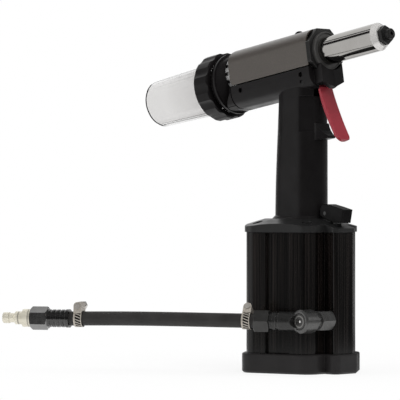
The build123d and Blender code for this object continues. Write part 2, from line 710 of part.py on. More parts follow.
with BuildPart() as pull_piston:
    turned(HEAD, ((PULL_BACK, PULL_WAY), (PULL_BACK, BORE_R - RUN), (PULL_FRONT, BORE_R - RUN),
                  (PULL_FRONT, ROD_R), (HOUSING_START, ROD_R), (HOUSING_START, ROD_THREAD_R),
                  (ROD_END, ROD_THREAD_R), (ROD_END, PULL_WAY)))
    sleeve(HEAD, PULL_BACK, TAIL_SOCKET, TAIL_R, mode=Mode.SUBTRACT)
    sleeve(HEAD, PULL_RING_START, PULL_RING_END, BORE_R, PULL_RING_IN, Mode.SUBTRACT)
pull_piston.part.label = "pull_piston"
export_step(pull_piston.part, "parts/pull_piston.step")

with BuildPart() as pull_seal:
    sleeve(HEAD, PULL_RING_START, PULL_RING_END, BORE_R - RUN, PULL_RING_IN)
pull_seal.part.label = "pull_seal"
export_step(pull_seal.part, "parts/pull_seal.step")

with BuildPart() as mandrel_tube:
    sleeve(HEAD, TAIL_END, TAIL_SOCKET, TAIL_R, PULL_WAY)
mandrel_tube.part.label = "mandrel_tube"
export_step(mandrel_tube.part, "parts/mandrel_tube.step")

CONE_RATE = (JAW_CONE_BACK_R - JAW_CONE_FRONT_R) / (HOUSING_END - JAW_CONE_START)

with BuildPart() as jaw_housing:
    turned(HEAD, ((HOUSING_START, ROD_THREAD_R), (HOUSING_START, HOUSING_R),
                  (HOUSING_END - SOFT, HOUSING_R), (HOUSING_END, HOUSING_R - SOFT),
                  (HOUSING_END, JAW_CONE_FRONT_R), (JAW_CONE_START, JAW_CONE_BACK_R),
                  (ROD_END, JAW_CONE_BACK_R), (ROD_END, ROD_THREAD_R)))
jaw_housing.part.label = "jaw_housing"
export_step(jaw_housing.part, "parts/jaw_housing.step")


def jaw_segment(number):
    # One third of a split cone, its faces kept apart from its neighbours.
    back_r = JAW_CONE_BACK_R - (JAW_BACK - JAW_CONE_START) * CONE_RATE - FREE
    front_r = JAW_CONE_BACK_R - (JAW_FRONT - JAW_CONE_START) * CONE_RATE - FREE
    turned(HEAD, ((JAW_BACK, JAW_HOLE), (JAW_BACK, back_r), (JAW_FRONT, front_r),
                  (JAW_FRONT, JAW_HOLE)))
    middle = number * FULL_TURN / JAWS
    swing = FULL_TURN / JAWS / 2
    with BuildSketch(station(HEAD, JAW_BACK)) as wedge:
        with BuildLine():
            reach = 2 * JAW_CONE_BACK_R
            inner = (JAW_SPLIT * cos(radians(middle)), JAW_SPLIT * sin(radians(middle)))
            low = (reach * cos(radians(middle - swing)) + inner[0],
                   reach * sin(radians(middle - swing)) + inner[1])
            far = (2 * reach * cos(radians(middle)), 2 * reach * sin(radians(middle)))
            high = (reach * cos(radians(middle + swing)) + inner[0],
                    reach * sin(radians(middle + swing)) + inner[1])
            Polyline(inner, low, far, high, close=True)
        make_face()
    extrude(wedge.sketch, amount=JAW_FRONT - JAW_BACK, mode=Mode.INTERSECT)


with BuildPart() as jaw_first:
    jaw_segment(FIRST)
jaw_first.part.label = "jaw_first"
export_step(jaw_first.part, "parts/jaw_first.step")

with BuildPart() as jaw_second:
    jaw_segment(SECOND)
jaw_second.part.label = "jaw_second"
export_step(jaw_second.part, "parts/jaw_second.step")

with BuildPart() as jaw_third:
    jaw_segment(THIRD)
jaw_third.part.label = "jaw_third"
export_step(jaw_third.part, "parts/jaw_third.step")

with BuildPart() as jaw_pusher:
    sleeve(HEAD, PUSHER_START, JAW_BACK - FREE, PUSHER_R, PUSHER_WAY)
jaw_pusher.part.label = "jaw_pusher"
export_step(jaw_pusher.part, "parts/jaw_pusher.step")

with BuildPart() as jaw_spring:
    coil(HEAD, ROD_END, PUSHER_START, JAW_COIL_R, JAW_WIRE_R, JAW_COIL_TURNS)
jaw_spring.part.label = "jaw_spring"
export_step(jaw_spring.part, "parts/jaw_spring.step")

# Nose

with BuildPart() as nose_sleeve:
    turned(HEAD, ((HEAD_FRONT, SLEEVE_IN), (HEAD_FRONT, SLEEVE_FLANGE_R),
                  (SLEEVE_FLANGE_END, SLEEVE_FLANGE_R), (SLEEVE_FLANGE_END, SLEEVE_R),
                  (SLEEVE_END, SLEEVE_R), (SLEEVE_LIP, SLEEVE_LIP_R), (SLEEVE_LIP, NOSE_THREAD_R),
                  (SLEEVE_WALL, NOSE_THREAD_R), (SLEEVE_WALL, SLEEVE_IN)))
nose_sleeve.part.label = "nose_sleeve"
export_step(nose_sleeve.part, "parts/nose_sleeve.step")

with BuildPart() as nosepiece:
    flats(HEAD, SLEEVE_LIP, NOSE_HEX_END, NOSE_HEX, HEX, NOSE_HEX_TURN)
    turned(HEAD, ((NOSE_TAIL_START, 0), (NOSE_TAIL_START, NOSE_TAIL_R), (SLEEVE_WALL, NOSE_TAIL_R),
                  (SLEEVE_WALL, NOSE_THREAD_R), (SLEEVE_LIP, NOSE_THREAD_R), (SLEEVE_LIP, NOSE_TIP_R),
                  (NOSE_TIP - EDGE, NOSE_TIP_R), (NOSE_TIP, NOSE_TIP_R - EDGE), (NOSE_TIP, 0)))
    sleeve(HEAD, NOSE_TAIL_START, NOSE_TIP, NOSE_HOLE, mode=Mode.SUBTRACT)
nosepiece.part.label = "nosepiece"
export_step(nosepiece.part, "parts/nosepiece.step")

with BuildPart() as front_nut:
    flats(HEAD, NUT_START, NUT_STEP, NUT_FLAT, NUT_FACETS, NUT_TURN)
    turned(HEAD, ((NUT_STEP, HEAD_NECK_R), (NUT_STEP, NUT_RING_R), (NUT_END - EDGE, NUT_RING_R),
                  (NUT_END, NUT_RING_R - EDGE), (NUT_END, NUT_RECESS_R), (NUT_RECESS, NUT_RECESS_R),
                  (NUT_RECESS, HEAD_NECK_R)))
    sleeve(HEAD, SLEEVE_FLANGE_END, NUT_RECESS, HEAD_NECK_R, SLEEVE_R)
    sleeve(HEAD, NUT_START, HEAD_FRONT, HEAD_NECK_R, mode=Mode.SUBTRACT)
    sleeve(HEAD, HEAD_FRONT, SLEEVE_FLANGE_END, SLEEVE_FLANGE_R, mode=Mode.SUBTRACT)
front_nut.part.label = "front_nut"
export_step(front_nut.part, "parts/front_nut.step")

# Rear of the head, adapter, collar, bottle

with BuildPart() as ring_nut:
    turned(HEAD, ((PLUG_END, TAIL_R + RUN), (PLUG_END, BORE_R), (HEAD_REAR, BORE_R),
                  (HEAD_REAR, HEAD_R), (RING_END, HEAD_R), (RING_END, RING_R), (RING_START, RING_R),
                  (RING_START, CAP_TAIL_R), (CAP_TAIL_END, CAP_TAIL_R), (CAP_TAIL_END, TAIL_R + RUN)))
    sleeve(HEAD, REAR_SEAL_START, REAR_SEAL_END, REAR_SEAL_R, mode=Mode.SUBTRACT)
    with BuildSketch(station(HEAD, RING_START)):
        with PolarLocations(RING_R, RING_NOTCHES):
            Rectangle(2 * NOTCH_D, NOTCH_W)
    extrude(amount=RING_END - RING_START, mode=Mode.SUBTRACT)
ring_nut.part.label = "ring_nut"
export_step(ring_nut.part, "parts/ring_nut.step")

with BuildPart() as rear_seal:
    sleeve(HEAD, REAR_SEAL_START, REAR_SEAL_END, REAR_SEAL_R, TAIL_R + RUN)
rear_seal.part.label = "rear_seal"
export_step(rear_seal.part, "parts/rear_seal.step")

with BuildPart() as rear_adapter:
    belly_run(RIM_END, CHIN_FRONT, 0, CHIN_ROOF)
    with BuildSketch(HEAD):
        with BuildLine():
            Polyline((CHIN_FRONT, CHIN_ROOF), (CHIN_BACK, CHIN_TAIL), (RIM_START, CHIN_TAIL),
                     (RIM_START, 2 * BELLY_LOW), (CHIN_FRONT, 2 * BELLY_LOW), close=True)
        make_face()
    extrude(amount=BELLY_HALF, both=True, mode=Mode.INTERSECT)
    with BuildSketch(station(HEAD, RIM_END)):
        with Locations((0, CHIN_TAIL / 2)):
            Rectangle(2 * CHIN_NECK, -CHIN_TAIL)
    extrude(amount=CHIN_FRONT - RIM_END)
    with BuildSketch(station(REAR, RIM_END)):
        Circle(CUP_R)
    with BuildSketch(station(HEAD, RING_START)):
        Circle(RING_R)
    loft()
    turned(REAR, ((SPIGOT_END, 0), (SPIGOT_END, SPIGOT_R), (RIM_START, SPIGOT_R), (RIM_START, RIM_R),
                  (RIM_END, RIM_R), (RIM_END, 0)))
    with BuildSketch(station(REAR, LUG_START)):
        with PolarLocations((SPIGOT_R + LUG_R) / 2, LUGS, start_angle=LOBE_STEP / 2):
            Rectangle(LUG_R - SPIGOT_R + EDGE, LUG_W)
    extrude(amount=LUG_END - LUG_START)
    sleeve(HEAD, RING_START, CHIN_FRONT + SEAT, RING_R + FREE, mode=Mode.SUBTRACT)
    sleeve(HEAD, SPIGOT_END, RING_START, CAP_TAIL_R, mode=Mode.SUBTRACT)
rear_adapter.part.label = "rear_adapter"
export_step(rear_adapter.part, "parts/rear_adapter.step")

with BuildPart() as ribbed_ring:
    sleeve(REAR, RIBBED_END, RIM_START, RIBBED_R, SPIGOT_R)
    with BuildSketch(station(REAR, RIBBED_END)):
        with PolarLocations(RIBBED_R, RIB_COUNT):
            Rectangle(2 * RIB_CUT, pi * RIBBED_R / RIB_COUNT)
    extrude(amount=RIM_START - RIBBED_END, mode=Mode.SUBTRACT)
ribbed_ring.part.label = "ribbed_ring"
export_step(ribbed_ring.part, "parts/ribbed_ring.step")

with BuildPart() as collar_ring:
    turned(REAR, ((COLLAR_REAR, BOTTLE_NECK_R), (COLLAR_REAR, COLLAR_R - COLLAR_EDGE),
                  (COLLAR_REAR + COLLAR_EDGE, COLLAR_R), (COLLAR_FRONT - COLLAR_EDGE, COLLAR_R),
                  (COLLAR_FRONT, COLLAR_R - COLLAR_EDGE), (COLLAR_FRONT, RIBBED_R + FREE),
                  (COLLAR_LIP_END, RIBBED_R + FREE), (COLLAR_LIP_END, BOTTLE_FLANGE_R),
                  (COLLAR_SEAT, BOTTLE_FLANGE_R), (COLLAR_SEAT, BOTTLE_NECK_R)))
    with BuildSketch(station(REAR, COLLAR_REAR)):
        with PolarLocations(COLLAR_R + SCALLOP_R - SCALLOP_D, SCALLOPS, start_angle=LOBE_STEP / 2):
            Circle(SCALLOP_R)
    extrude(amount=COLLAR_FRONT - COLLAR_REAR, mode=Mode.SUBTRACT)
collar_ring.part.label = "collar_ring"
export_step(collar_ring.part, "parts/collar_ring.step")

with BuildPart() as catch_bottle:
    flange_front = COLLAR_SEAT + BOTTLE_FLANGE_T
    turned(REAR, ((COLLAR_REAR, 0), (COLLAR_REAR, BOTTLE_NECK_R), (BOTTLE_END + BOTTLE_CORNER, BOTTLE_END_R),
                  (BOTTLE_END, BOTTLE_END_R - BOTTLE_CORNER), (BOTTLE_END, 0)))
    with BuildSketch(station(REAR, BOTTLE_END)):
        RegularPolygon(BOTTLE_END_R - PANEL_CUT, PANELS, major_radius=False)
    with BuildSketch(station(REAR, COLLAR_REAR)):
        RegularPolygon(BOTTLE_NECK_R - PANEL_CUT, PANELS, major_radius=False)
    loft(ruled=True, mode=Mode.INTERSECT)
    turned(REAR, ((COLLAR_REAR, 0), (COLLAR_REAR, BOTTLE_NECK_R), (COLLAR_SEAT, BOTTLE_NECK_R),
                  (COLLAR_SEAT, BOTTLE_FLANGE_R), (flange_front, BOTTLE_FLANGE_R), (flange_front, 0)))
    turned(REAR, ((flange_front, 0), (flange_front, BOTTLE_NECK_R - BOTTLE_WALL),
                  (COLLAR_REAR, BOTTLE_NECK_R - BOTTLE_WALL),
                  (BOTTLE_END + BOTTLE_CORNER + EDGE, BOTTLE_END_R - BOTTLE_WALL),
                  (BOTTLE_END + BOTTLE_WALL, BOTTLE_END_R - BOTTLE_CORNER - EDGE),
                  (BOTTLE_END + BOTTLE_WALL, 0)), Mode.SUBTRACT)
catch_bottle.part.label = "catch_bottle"
export_step(catch_bottle.part, "parts/catch_bottle.step")

# Cover and grip

with BuildPart() as top_cover:
    with BuildSketch(station(HEAD, COVER_REAR)) as cover_end:
        with Locations((0, (COVER_TOP + COVER_LOW) / 2)):
            Rectangle(2 * COVER_HALF, COVER_TOP - COVER_LOW)
        fillet(cover_end.vertices().group_by(Axis.Y)[-1], COVER_SHOULDER)
    extrude(amount=COVER_FRONT - COVER_REAR)
    with BuildSketch(HEAD) as cover_side:
        with Locations(((COVER_REAR + COVER_FRONT) / 2, (COVER_TOP + COVER_LOW) / 2)):
            Rectangle(COVER_FRONT - COVER_REAR, COVER_TOP - COVER_LOW)
        fillet(cover_side.vertices().group_by(Axis.X)[0], COVER_CORNER)
    extrude(amount=COVER_HALF, both=True, mode=Mode.INTERSECT)
    with BuildSketch(station(HEAD, COVER_REAR)) as cover_room:
        with Locations((0, (COVER_TOP - COVER_WALL + COVER_LOW) / 2)):
            Rectangle(2 * (COVER_HALF - COVER_WALL), COVER_TOP - COVER_WALL - COVER_LOW)
        fillet(cover_room.vertices().group_by(Axis.Y)[-1], COVER_SHOULDER - COVER_WALL)
    extrude(amount=COVER_FRONT - COVER_REAR, mode=Mode.SUBTRACT)
    sleeve(OIL, 0, 2 * COVER_TOP, OIL_PLUG_R + RUN, mode=Mode.SUBTRACT)
top_cover.part.label = "top_cover"
export_step(top_cover.part, "parts/top_cover.step")


def grip_section(level, rear, front, half):
    # One rounded-end section of the upright handle.
    with BuildSketch(Plane.XY.offset(level)) as section:
        with Locations(((rear + front) / 2, 0)):
            SlotOverall(front - rear, 2 * half)
    return section.sketch


def grip_sections(inset):
    # The handle's sections from plate to head, drawn in by an inset.
    sections = []
    for share, rear, half in zip(GRIP_SHARES, GRIP_REARS, GRIP_HALVES):
        level = PLATE_TOP + share * (HANDLE_TOP - PLATE_TOP)
        sections.append(grip_section(level, rear + inset, GRIP_FRONT - inset, half - inset))
    return sections


def grip_foot():
    # The short flare where the handle meets the plate.
    rear = GRIP_REARS[0]
    half = GRIP_HALVES[0]
    low = grip_section(PLATE_TOP, rear - FOOT_OUT, GRIP_FRONT + FOOT_AHEAD, half + FOOT_OUT)
    high = grip_section(PLATE_TOP + FOOT_H, rear + EDGE, GRIP_FRONT - EDGE, half - EDGE)
    loft((low, high), ruled=True)


def finger_flats():
    # Slanting flats at the handle's front corners, behind the trigger.
    half = GRIP_HALVES[-1]
    with BuildSketch(Plane.XY.offset(FLAT_LOW)) as corners:
        with BuildLine():
            Polyline((FLAT_REAR, half), (GRIP_FRONT, FLAT_NOSE), (GRIP_FRONT + SEAT, 2 * half), close=True)
        make_face()
        with BuildLine():
            Polyline((FLAT_REAR, -half), (GRIP_FRONT, -FLAT_NOSE), (GRIP_FRONT + SEAT, -2 * half), close=True)
        make_face()
    extrude(corners.sketch, amount=FLAT_HIGH - FLAT_LOW, mode=Mode.SUBTRACT)


def finger_rest():
    # The beak under the trigger, narrowing towards its tip.
    with BuildSketch(HEAD_SIDE) as rest:
        with BuildLine():
            Polyline(*REST_POINTS, close=True)
        make_face()
    extrude(rest.sketch, amount=REST_HALF, both=True)
    rest_top = AXIS_Z + REST_POINTS[0][1]
    rest_low = AXIS_Z + REST_POINTS[-1][1]
    with BuildSketch(Plane.XY.offset(rest_low)) as cheeks:
        with BuildLine():
            Polyline((GRIP_FRONT, REST_HALF), (REST_TIP, REST_TIP_HALF), (REST_TIP, REST_HALF), close=True)
        make_face()
        with BuildLine():
            Polyline((GRIP_FRONT, -REST_HALF), (REST_TIP, -REST_TIP_HALF), (REST_TIP, -REST_HALF), close=True)
        make_face()
    extrude(cheeks.sketch, amount=rest_top - rest_low, mode=Mode.SUBTRACT)


def prow():
    # The bow under the nose, its front drawn to an edge at the mid-plane.
    with BuildSketch(station(HEAD, PROW_BACK)) as bow:
        with BuildLine():
            Polyline((0, PROW_LOW), (PROW_HALF, PROW_LOW + PROW_KEEL), (PROW_HALF, PROW_TOP),
                     (-PROW_HALF, PROW_TOP), (-PROW_HALF, PROW_LOW + PROW_KEEL), close=True)
        make_face()
    extrude(bow.sketch, amount=PROW_FRONT - PROW_BACK)
    with BuildSketch(PROW_PLAN.offset(PROW_LOW)) as corners:
        with BuildLine():
            Polyline((PROW_SIDE, PROW_HALF), (PROW_FRONT, 0), (PROW_SIDE, -PROW_HALF),
                     (PROW_FRONT + SEAT, -PROW_HALF), (PROW_FRONT + SEAT, PROW_HALF), close=True)
        make_face()
    extrude(corners.sketch, amount=PROW_TOP - PROW_LOW, mode=Mode.SUBTRACT)


def grip_whole():
    # Both halves as one, before the mid-plane cut.
    belly_run(BELLY_REAR, BELLY_FRONT, 0, COVER_LOW)
    prow()
    loft(grip_sections(0))
    grip_foot()
    finger_flats()
    finger_rest()
    belly_run(BELLY_REAR + BELLY_WALL, CAVITY_FRONT, BELLY_WALL, 0, Mode.SUBTRACT)
    loft(grip_sections(GRIP_WALL), mode=Mode.SUBTRACT)
    with BuildSketch(Plane.YZ.offset(VALVE_REAR)) as pocket:
        with Locations((0, VALVE_Z)):
            Rectangle(2 * POCKET_HALF, 2 * (VALVE_R + POCKET_WALL))
    extrude(pocket.sketch, amount=GRIP_FRONT - GRIP_WALL - VALVE_REAR)
    for spot in SCREW_SPOTS:
        side_bar(spot, -BELLY_HALF + BELLY_WALL, BELLY_HALF - BELLY_WALL, SCREW_BOSS_R)
    sleeve(HEAD, BELLY_REAR, NUT_START - SEAT, HEAD_R, mode=Mode.SUBTRACT)
    flats(HEAD, NUT_START - SEAT, NUT_STEP + SEAT, NUT_FLAT + SEAT, NUT_FACETS, NUT_TURN, Mode.SUBTRACT)
    sleeve(HEAD, NUT_STEP + SEAT, PROW_FRONT, NUT_RING_R + SEAT, mode=Mode.SUBTRACT)
    with BuildSketch(Plane.XZ) as slot:
        with Locations(((SLOT_REAR + SLOT_FRONT) / 2, (SLOT_LOW + SLOT_HIGH) / 2)):
            Rectangle(SLOT_FRONT - SLOT_REAR, SLOT_HIGH - SLOT_LOW)
    extrude(slot.sketch, amount=TRIGGER_HALF + SEAT, both=True, mode=Mode.SUBTRACT)
    sleeve(UPRIGHT, OIL_BOSS_LOW - SEAT, AXIS_Z, OIL_BOSS_R + SEAT, mode=Mode.SUBTRACT)
    sleeve(PIVOT, -SPLIT, SPLIT, TRIGGER_PIN_R, mode=Mode.SUBTRACT)
    sleeve(VALVE, VALVE_REAR, VALVE_FRONT, VALVE_R, mode=Mode.SUBTRACT)
    sleeve(VALVE, VALVE_FRONT, STEM_TIP, STEM_R + FREE, mode=Mode.SUBTRACT)
    sleeve(PILOT, PLATE_TOP, VALVE_Z, PILOT_R, mode=Mode.SUBTRACT)
    for spot in SCREW_SPOTS:
        side_bar(spot, GRIP_SCREW_SINK - GRIP_SCREW_LONG, GRIP_SCREW_SINK, GRIP_SCREW_R, Mode.SUBTRACT)
        side_bar(spot, GRIP_SCREW_SINK, SPLIT, GRIP_SCREW_WELL, Mode.SUBTRACT)


def drop_half(amount):
    # Cuts away everything to one side of the mid-plane.
    with BuildSketch(Plane.XZ) as half:
        Rectangle(2 * SPLIT_TALL, 2 * SPLIT_TALL)
    extrude(half.sketch, amount=amount, mode=Mode.SUBTRACT)


with BuildPart() as grip_right:
    grip_whole()
    drop_half(-SPLIT)
grip_right.part.label = "grip_right"
export_step(grip_right.part, "parts/grip_right.step")

with BuildPart() as grip_left:
    grip_whole()
    drop_half(SPLIT)
grip_left.part.label = "grip_left"
export_step(grip_left.part, "parts/grip_left.step")

with BuildPart() as grip_screws:
    for spot in SCREW_SPOTS:
        side_bar(spot, GRIP_SCREW_SINK - GRIP_SCREW_LONG, GRIP_SCREW_SINK, GRIP_SCREW_R)
        side_bar(spot, GRIP_SCREW_SINK, GRIP_SCREW_SINK + GRIP_SCREW_HEAD_H, GRIP_SCREW_HEAD_R)
grip_screws.part.label = "grip_screws"
export_step(grip_screws.part, "parts/grip_screws.step")

# Trigger and its valve

with BuildPart() as trigger:
    with BuildSketch(HEAD_SIDE):
        with BuildLine():
            Spline(*TRIGGER_FACE)
            Line(TRIGGER_FACE[-1], TRIGGER_BACK[0])
            Spline(*TRIGGER_BACK)
            Polyline(TRIGGER_BACK[-1], TRIGGER_HEEL, TRIGGER_ROOF, TRIGGER_FACE[0])
        make_face()
        with Locations((PIVOT_X, PIVOT_Z - AXIS_Z)):
            Circle(TRIGGER_HUB_R)
    extrude(amount=TRIGGER_HALF, both=True)
    fillet(trigger.faces().sort_by(Axis.Y)[0].edges(), TRIGGER_EDGE)
    fillet(trigger.faces().sort_by(Axis.Y)[-1].edges(), TRIGGER_EDGE)
    with BuildSketch(Plane.YZ):
        with Locations((0, AXIS_Z + TONGUE_Z)):
            Ellipse(TRIGGER_HALF, TONGUE_TIP)
        with Locations((0, AXIS_Z + TONGUE_Z / 2)):
            Rectangle(2 * TRIGGER_HALF, -TONGUE_Z)
    extrude(amount=SPLIT, mode=Mode.INTERSECT)
    sleeve(PIVOT, -TRIGGER_HALF, TRIGGER_HALF, TRIGGER_PIN_R + RUN, mode=Mode.SUBTRACT)
trigger.part.label = "trigger"
export_step(trigger.part, "parts/trigger.step")

with BuildPart() as trigger_pin:
    sleeve(PIVOT, -TRIGGER_PIN_HALF, TRIGGER_PIN_HALF, TRIGGER_PIN_R)
trigger_pin.part.label = "trigger_pin"
export_step(trigger_pin.part, "parts/trigger_pin.step")

with BuildPart() as trigger_valve:
    sleeve(VALVE, VALVE_REAR, VALVE_FRONT, VALVE_R)
    sleeve(VALVE, VALVE_ROOM_START, VALVE_ROOM_END, VALVE_ROOM_R, mode=Mode.SUBTRACT)
    sleeve(VALVE, VALVE_ROOM_END, VALVE_FRONT, STEM_R + RUN, mode=Mode.SUBTRACT)
    sleeve(PILOT, VALVE_Z - VALVE_R, VALVE_Z, PILOT_IN, mode=Mode.SUBTRACT)
trigger_valve.part.label = "trigger_valve"
export_step(trigger_valve.part, "parts/trigger_valve.step")

with BuildPart() as valve_stem:
    turned(VALVE, ((STEM_REAR, 0), (STEM_REAR, STEM_R), (STEM_COLLAR_START, STEM_R),
                   (STEM_COLLAR_START, STEM_COLLAR_R), (STEM_COLLAR_END, STEM_COLLAR_R),
                   (STEM_COLLAR_END, STEM_R), (STEM_TIP - EDGE, STEM_R), (STEM_TIP, STEM_R - EDGE),
                   (STEM_TIP, 0)))
valve_stem.part.label = "valve_stem"
export_step(valve_stem.part, "parts/valve_stem.step")

with BuildPart() as stem_spring:
    coil(VALVE, VALVE_ROOM_START, STEM_COLLAR_START, STEM_COIL_R, STEM_WIRE_R, STEM_COIL_TURNS)
stem_spring.part.label = "stem_spring"
export_step(stem_spring.part, "parts/stem_spring.step")

with BuildPart() as pilot_tube:
    sleeve(PILOT, PLATE_TOP, VALVE_Z - VALVE_R + EDGE, PILOT_R, PILOT_IN)
    sleeve(VALVE, VALVE_REAR, VALVE_FRONT, VALVE_R, mode=Mode.SUBTRACT)
pilot_tube.part.label = "pilot_tube"
export_step(pilot_tube.part, "parts/pilot_tube.step")

# Lever and plunger

with BuildPart() as valve_lever:
    with BuildSketch(PLATE_SIDE):
        with BuildLine():
            Polyline(*LEVER_SIDE, close=True)
        make_face()
    extrude(amount=LEVER_HALF, both=True)
    chamfer(valve_lever.faces().sort_by(Axis.Y)[-1].edges(), LEVER_EDGE)
    chamfer(valve_lever.faces().sort_by(Axis.Y)[0].edges(), LEVER_EDGE)
    with BuildSketch(Plane.XZ):
        with Locations((LEVER_PIN_X, LEVER_PIN_Z)):
            Circle(LUG_HALF + LEVER_SLOT_GAP)
        with BuildLine():
            slot_half = LUG_HALF + LEVER_SLOT_GAP
            Polyline((LEVER_PIN_X - slot_half, LEVER_PIN_Z),
                     (LEVER_PIN_X - LEVER_SLOT_REACH, LEVER_SLOT_LOW),
                     (LEVER_PIN_X + LEVER_SLOT_REACH, LEVER_SLOT_LOW),
                     (LEVER_PIN_X + slot_half, LEVER_PIN_Z), close=True)
        make_face()
    extrude(amount=LUG_THICK + LEVER_SLOT_GAP, both=True, mode=Mode.SUBTRACT)
    sleeve(LEVER, -LEVER_HALF, LEVER_HALF, LEVER_PIN_R + RUN, mode=Mode.SUBTRACT)
valve_lever.part.label = "valve_lever"
export_step(valve_lever.part, "parts/valve_lever.step")

with BuildPart() as lever_pin:
    sleeve(LEVER, -LEVER_PIN_HALF, LEVER_PIN_HALF, LEVER_PIN_R)
lever_pin.part.label = "lever_pin"
export_step(lever_pin.part, "parts/lever_pin.step")

with BuildPart() as valve_plunger:
    turned(PLUNGER, ((PLUNGER_LOW, 0), (PLUNGER_LOW, PLUNGER_FOOT_R),
                     (PLUNGER_LOW + PLUNGER_FOOT_H, PLUNGER_FOOT_R),
                     (PLUNGER_LOW + PLUNGER_FOOT_H, PLUNGER_R), (PLUNGER_TOP - EDGE, PLUNGER_R),
                     (PLUNGER_TOP, PLUNGER_R - EDGE), (PLUNGER_TOP, 0)))
valve_plunger.part.label = "valve_plunger"
export_step(valve_plunger.part, "parts/valve_plunger.step")

with BuildPart() as plunger_spring:
    coil(PLUNGER, PLUNGER_ROOM_LOW, PLUNGER_LOW, PLUNGER_COIL_R, PLUNGER_WIRE_R, PLUNGER_COIL_TURNS)
plunger_spring.part.label = "plunger_spring"
export_step(plunger_spring.part, "parts/plunger_spring.step")

# Inlet, swivel and hose line

with BuildPart() as inlet_stub:
    hex_bar(INLET, BLOCK_HALF, STUB_HEX_END, STUB_HEX)
    turned(INLET, ((BLOCK_HALF - PORT_DEPTH, 0), (BLOCK_HALF - PORT_DEPTH, PORT_R),
                   (BLOCK_HALF, PORT_R), (STUB_HEX_END, STUB_NECK_R), (STUB_NECK_END, STUB_NECK_R),
                   (STUB_NECK_END, SHAFT_R), (SHAFT_END, SHAFT_R), (SHAFT_END, 0)))
    sleeve(INLET, BLOCK_HALF - PORT_DEPTH, STUB_WAY_END - KEEPER_SHANK + SEAT, STUB_WAY,
           mode=Mode.SUBTRACT)
    sleeve(INLET, SHAFT_END - KEEPER_SHANK, SHAFT_END, KEEPER_SHANK_R, mode=Mode.SUBTRACT)
    for spot in SEAL_SPOTS:
        sleeve(INLET, spot - SEAL_HALF, spot + SEAL_HALF, SHAFT_R, SHAFT_R - SEAL_DEPTH, Mode.SUBTRACT)
inlet_stub.part.label = "inlet_stub"
export_step(inlet_stub.part, "parts/inlet_stub.step")

with BuildPart() as swivel_seals:
    for spot in SEAL_SPOTS:
        sleeve(INLET, spot - SEAL_HALF, spot + SEAL_HALF, SHAFT_R, SHAFT_R - SEAL_DEPTH)
swivel_seals.part.label = "swivel_seals"
export_step(swivel_seals.part, "parts/swivel_seals.step")

with BuildPart() as swivel_screw:
    sleeve(INLET, SHAFT_END - KEEPER_SHANK, SHAFT_END, KEEPER_SHANK_R)
    sleeve(INLET, SHAFT_END, SHAFT_END + KEEPER_H, KEEPER_R)
    flats(INLET, SHAFT_END + KEEPER_H - KEEPER_KEY, SHAFT_END + KEEPER_H, KEY_R, HEX,
          mode=Mode.SUBTRACT)
swivel_screw.part.label = "swivel_screw"
export_step(swivel_screw.part, "parts/swivel_screw.step")

with BuildPart() as swivel_head:
    turned(INLET, ((SWIVEL_START, 0), (SWIVEL_START, SWIVEL_R - SWIVEL_EDGE),
                   (SWIVEL_START + SWIVEL_EDGE, SWIVEL_R), (SWIVEL_END - SWIVEL_EDGE, SWIVEL_R),
                   (SWIVEL_END, SWIVEL_R - SWIVEL_EDGE), (SWIVEL_END, 0)))
    turned(ARM, ((0, 0), (0, ARM_R), (ARM_END, ARM_R), (ARM_END, ARM_WAIST_R),
                 (ARM_RIB_START, ARM_WAIST_R), (ARM_RIB_START, ARM_R), (ARM_RIB_END, ARM_R),
                 (ARM_RIB_END, ARM_WAIST_R), (ARM_NECK_END, ARM_WAIST_R), (ARM_NECK_END, ARM_SPIGOT_R),
                 (ARM_SPIGOT_END, ARM_SPIGOT_R), (ARM_SPIGOT_END, 0)))
    sleeve(ARM, 0, ARM_SPIGOT_END, ARM_WAY, mode=Mode.SUBTRACT)
    sleeve(INLET, SWIVEL_START, SWIVEL_END, SHAFT_R + RUN, mode=Mode.SUBTRACT)
    sleeve(INLET, SWIVEL_RECESS, SWIVEL_END, SWIVEL_RECESS_R, mode=Mode.SUBTRACT)
swivel_head.part.label = "swivel_head"
export_step(swivel_head.part, "parts/swivel_head.step")

with BuildPart() as hose_nut:
    hex_bar(ARM, ARM_NECK_END, HOSE_NUT_END, NUT_AF)
    sleeve(ARM, ARM_NECK_END, TAIL_FLANGE_END, ARM_SPIGOT_R, mode=Mode.SUBTRACT)
    sleeve(ARM, TAIL_FLANGE_END, HOSE_NUT_END, HOSE_IN, mode=Mode.SUBTRACT)
hose_nut.part.label = "hose_nut"
export_step(hose_nut.part, "parts/hose_nut.step")

with BuildPart() as hose_tail:
    sleeve(ARM, ARM_SPIGOT_END, TAIL_FLANGE_END, ARM_SPIGOT_R, TAIL_WAY)
    sleeve(ARM, TAIL_FLANGE_END, TAIL_BARB_END, HOSE_IN, TAIL_WAY)
hose_tail.part.label = "hose_tail"
export_step(hose_tail.part, "parts/hose_tail.step")

with BuildPart() as air_hose:
    sleeve(ARM, HOSE_NUT_END, HOSE_END, HOSE_R, HOSE_IN)
air_hose.part.label = "air_hose"
export_step(air_hose.part, "parts/air_hose.step")


def clamp_plane(place, lean):
    # The plane across the hose at a clamp, its Y towards the screw box.
    flat = station(ARM, place)
    return Plane(origin=flat.origin,
                 x_dir=flat.x_dir * cos(radians(lean)) + flat.y_dir * sin(radians(lean)),
                 z_dir=flat.z_dir)


def worm_frame(place, lean):
    # The worm screw's axis, through the middle of its box.
    flat = clamp_plane(place, lean)
    height = HOSE_R + CLAMP_BAND + WORM_LIFT
    middle = flat.origin + flat.z_dir * (CLAMP_W / 2) + flat.y_dir * height
    return line_frame(middle, flat.x_dir, flat.y_dir)


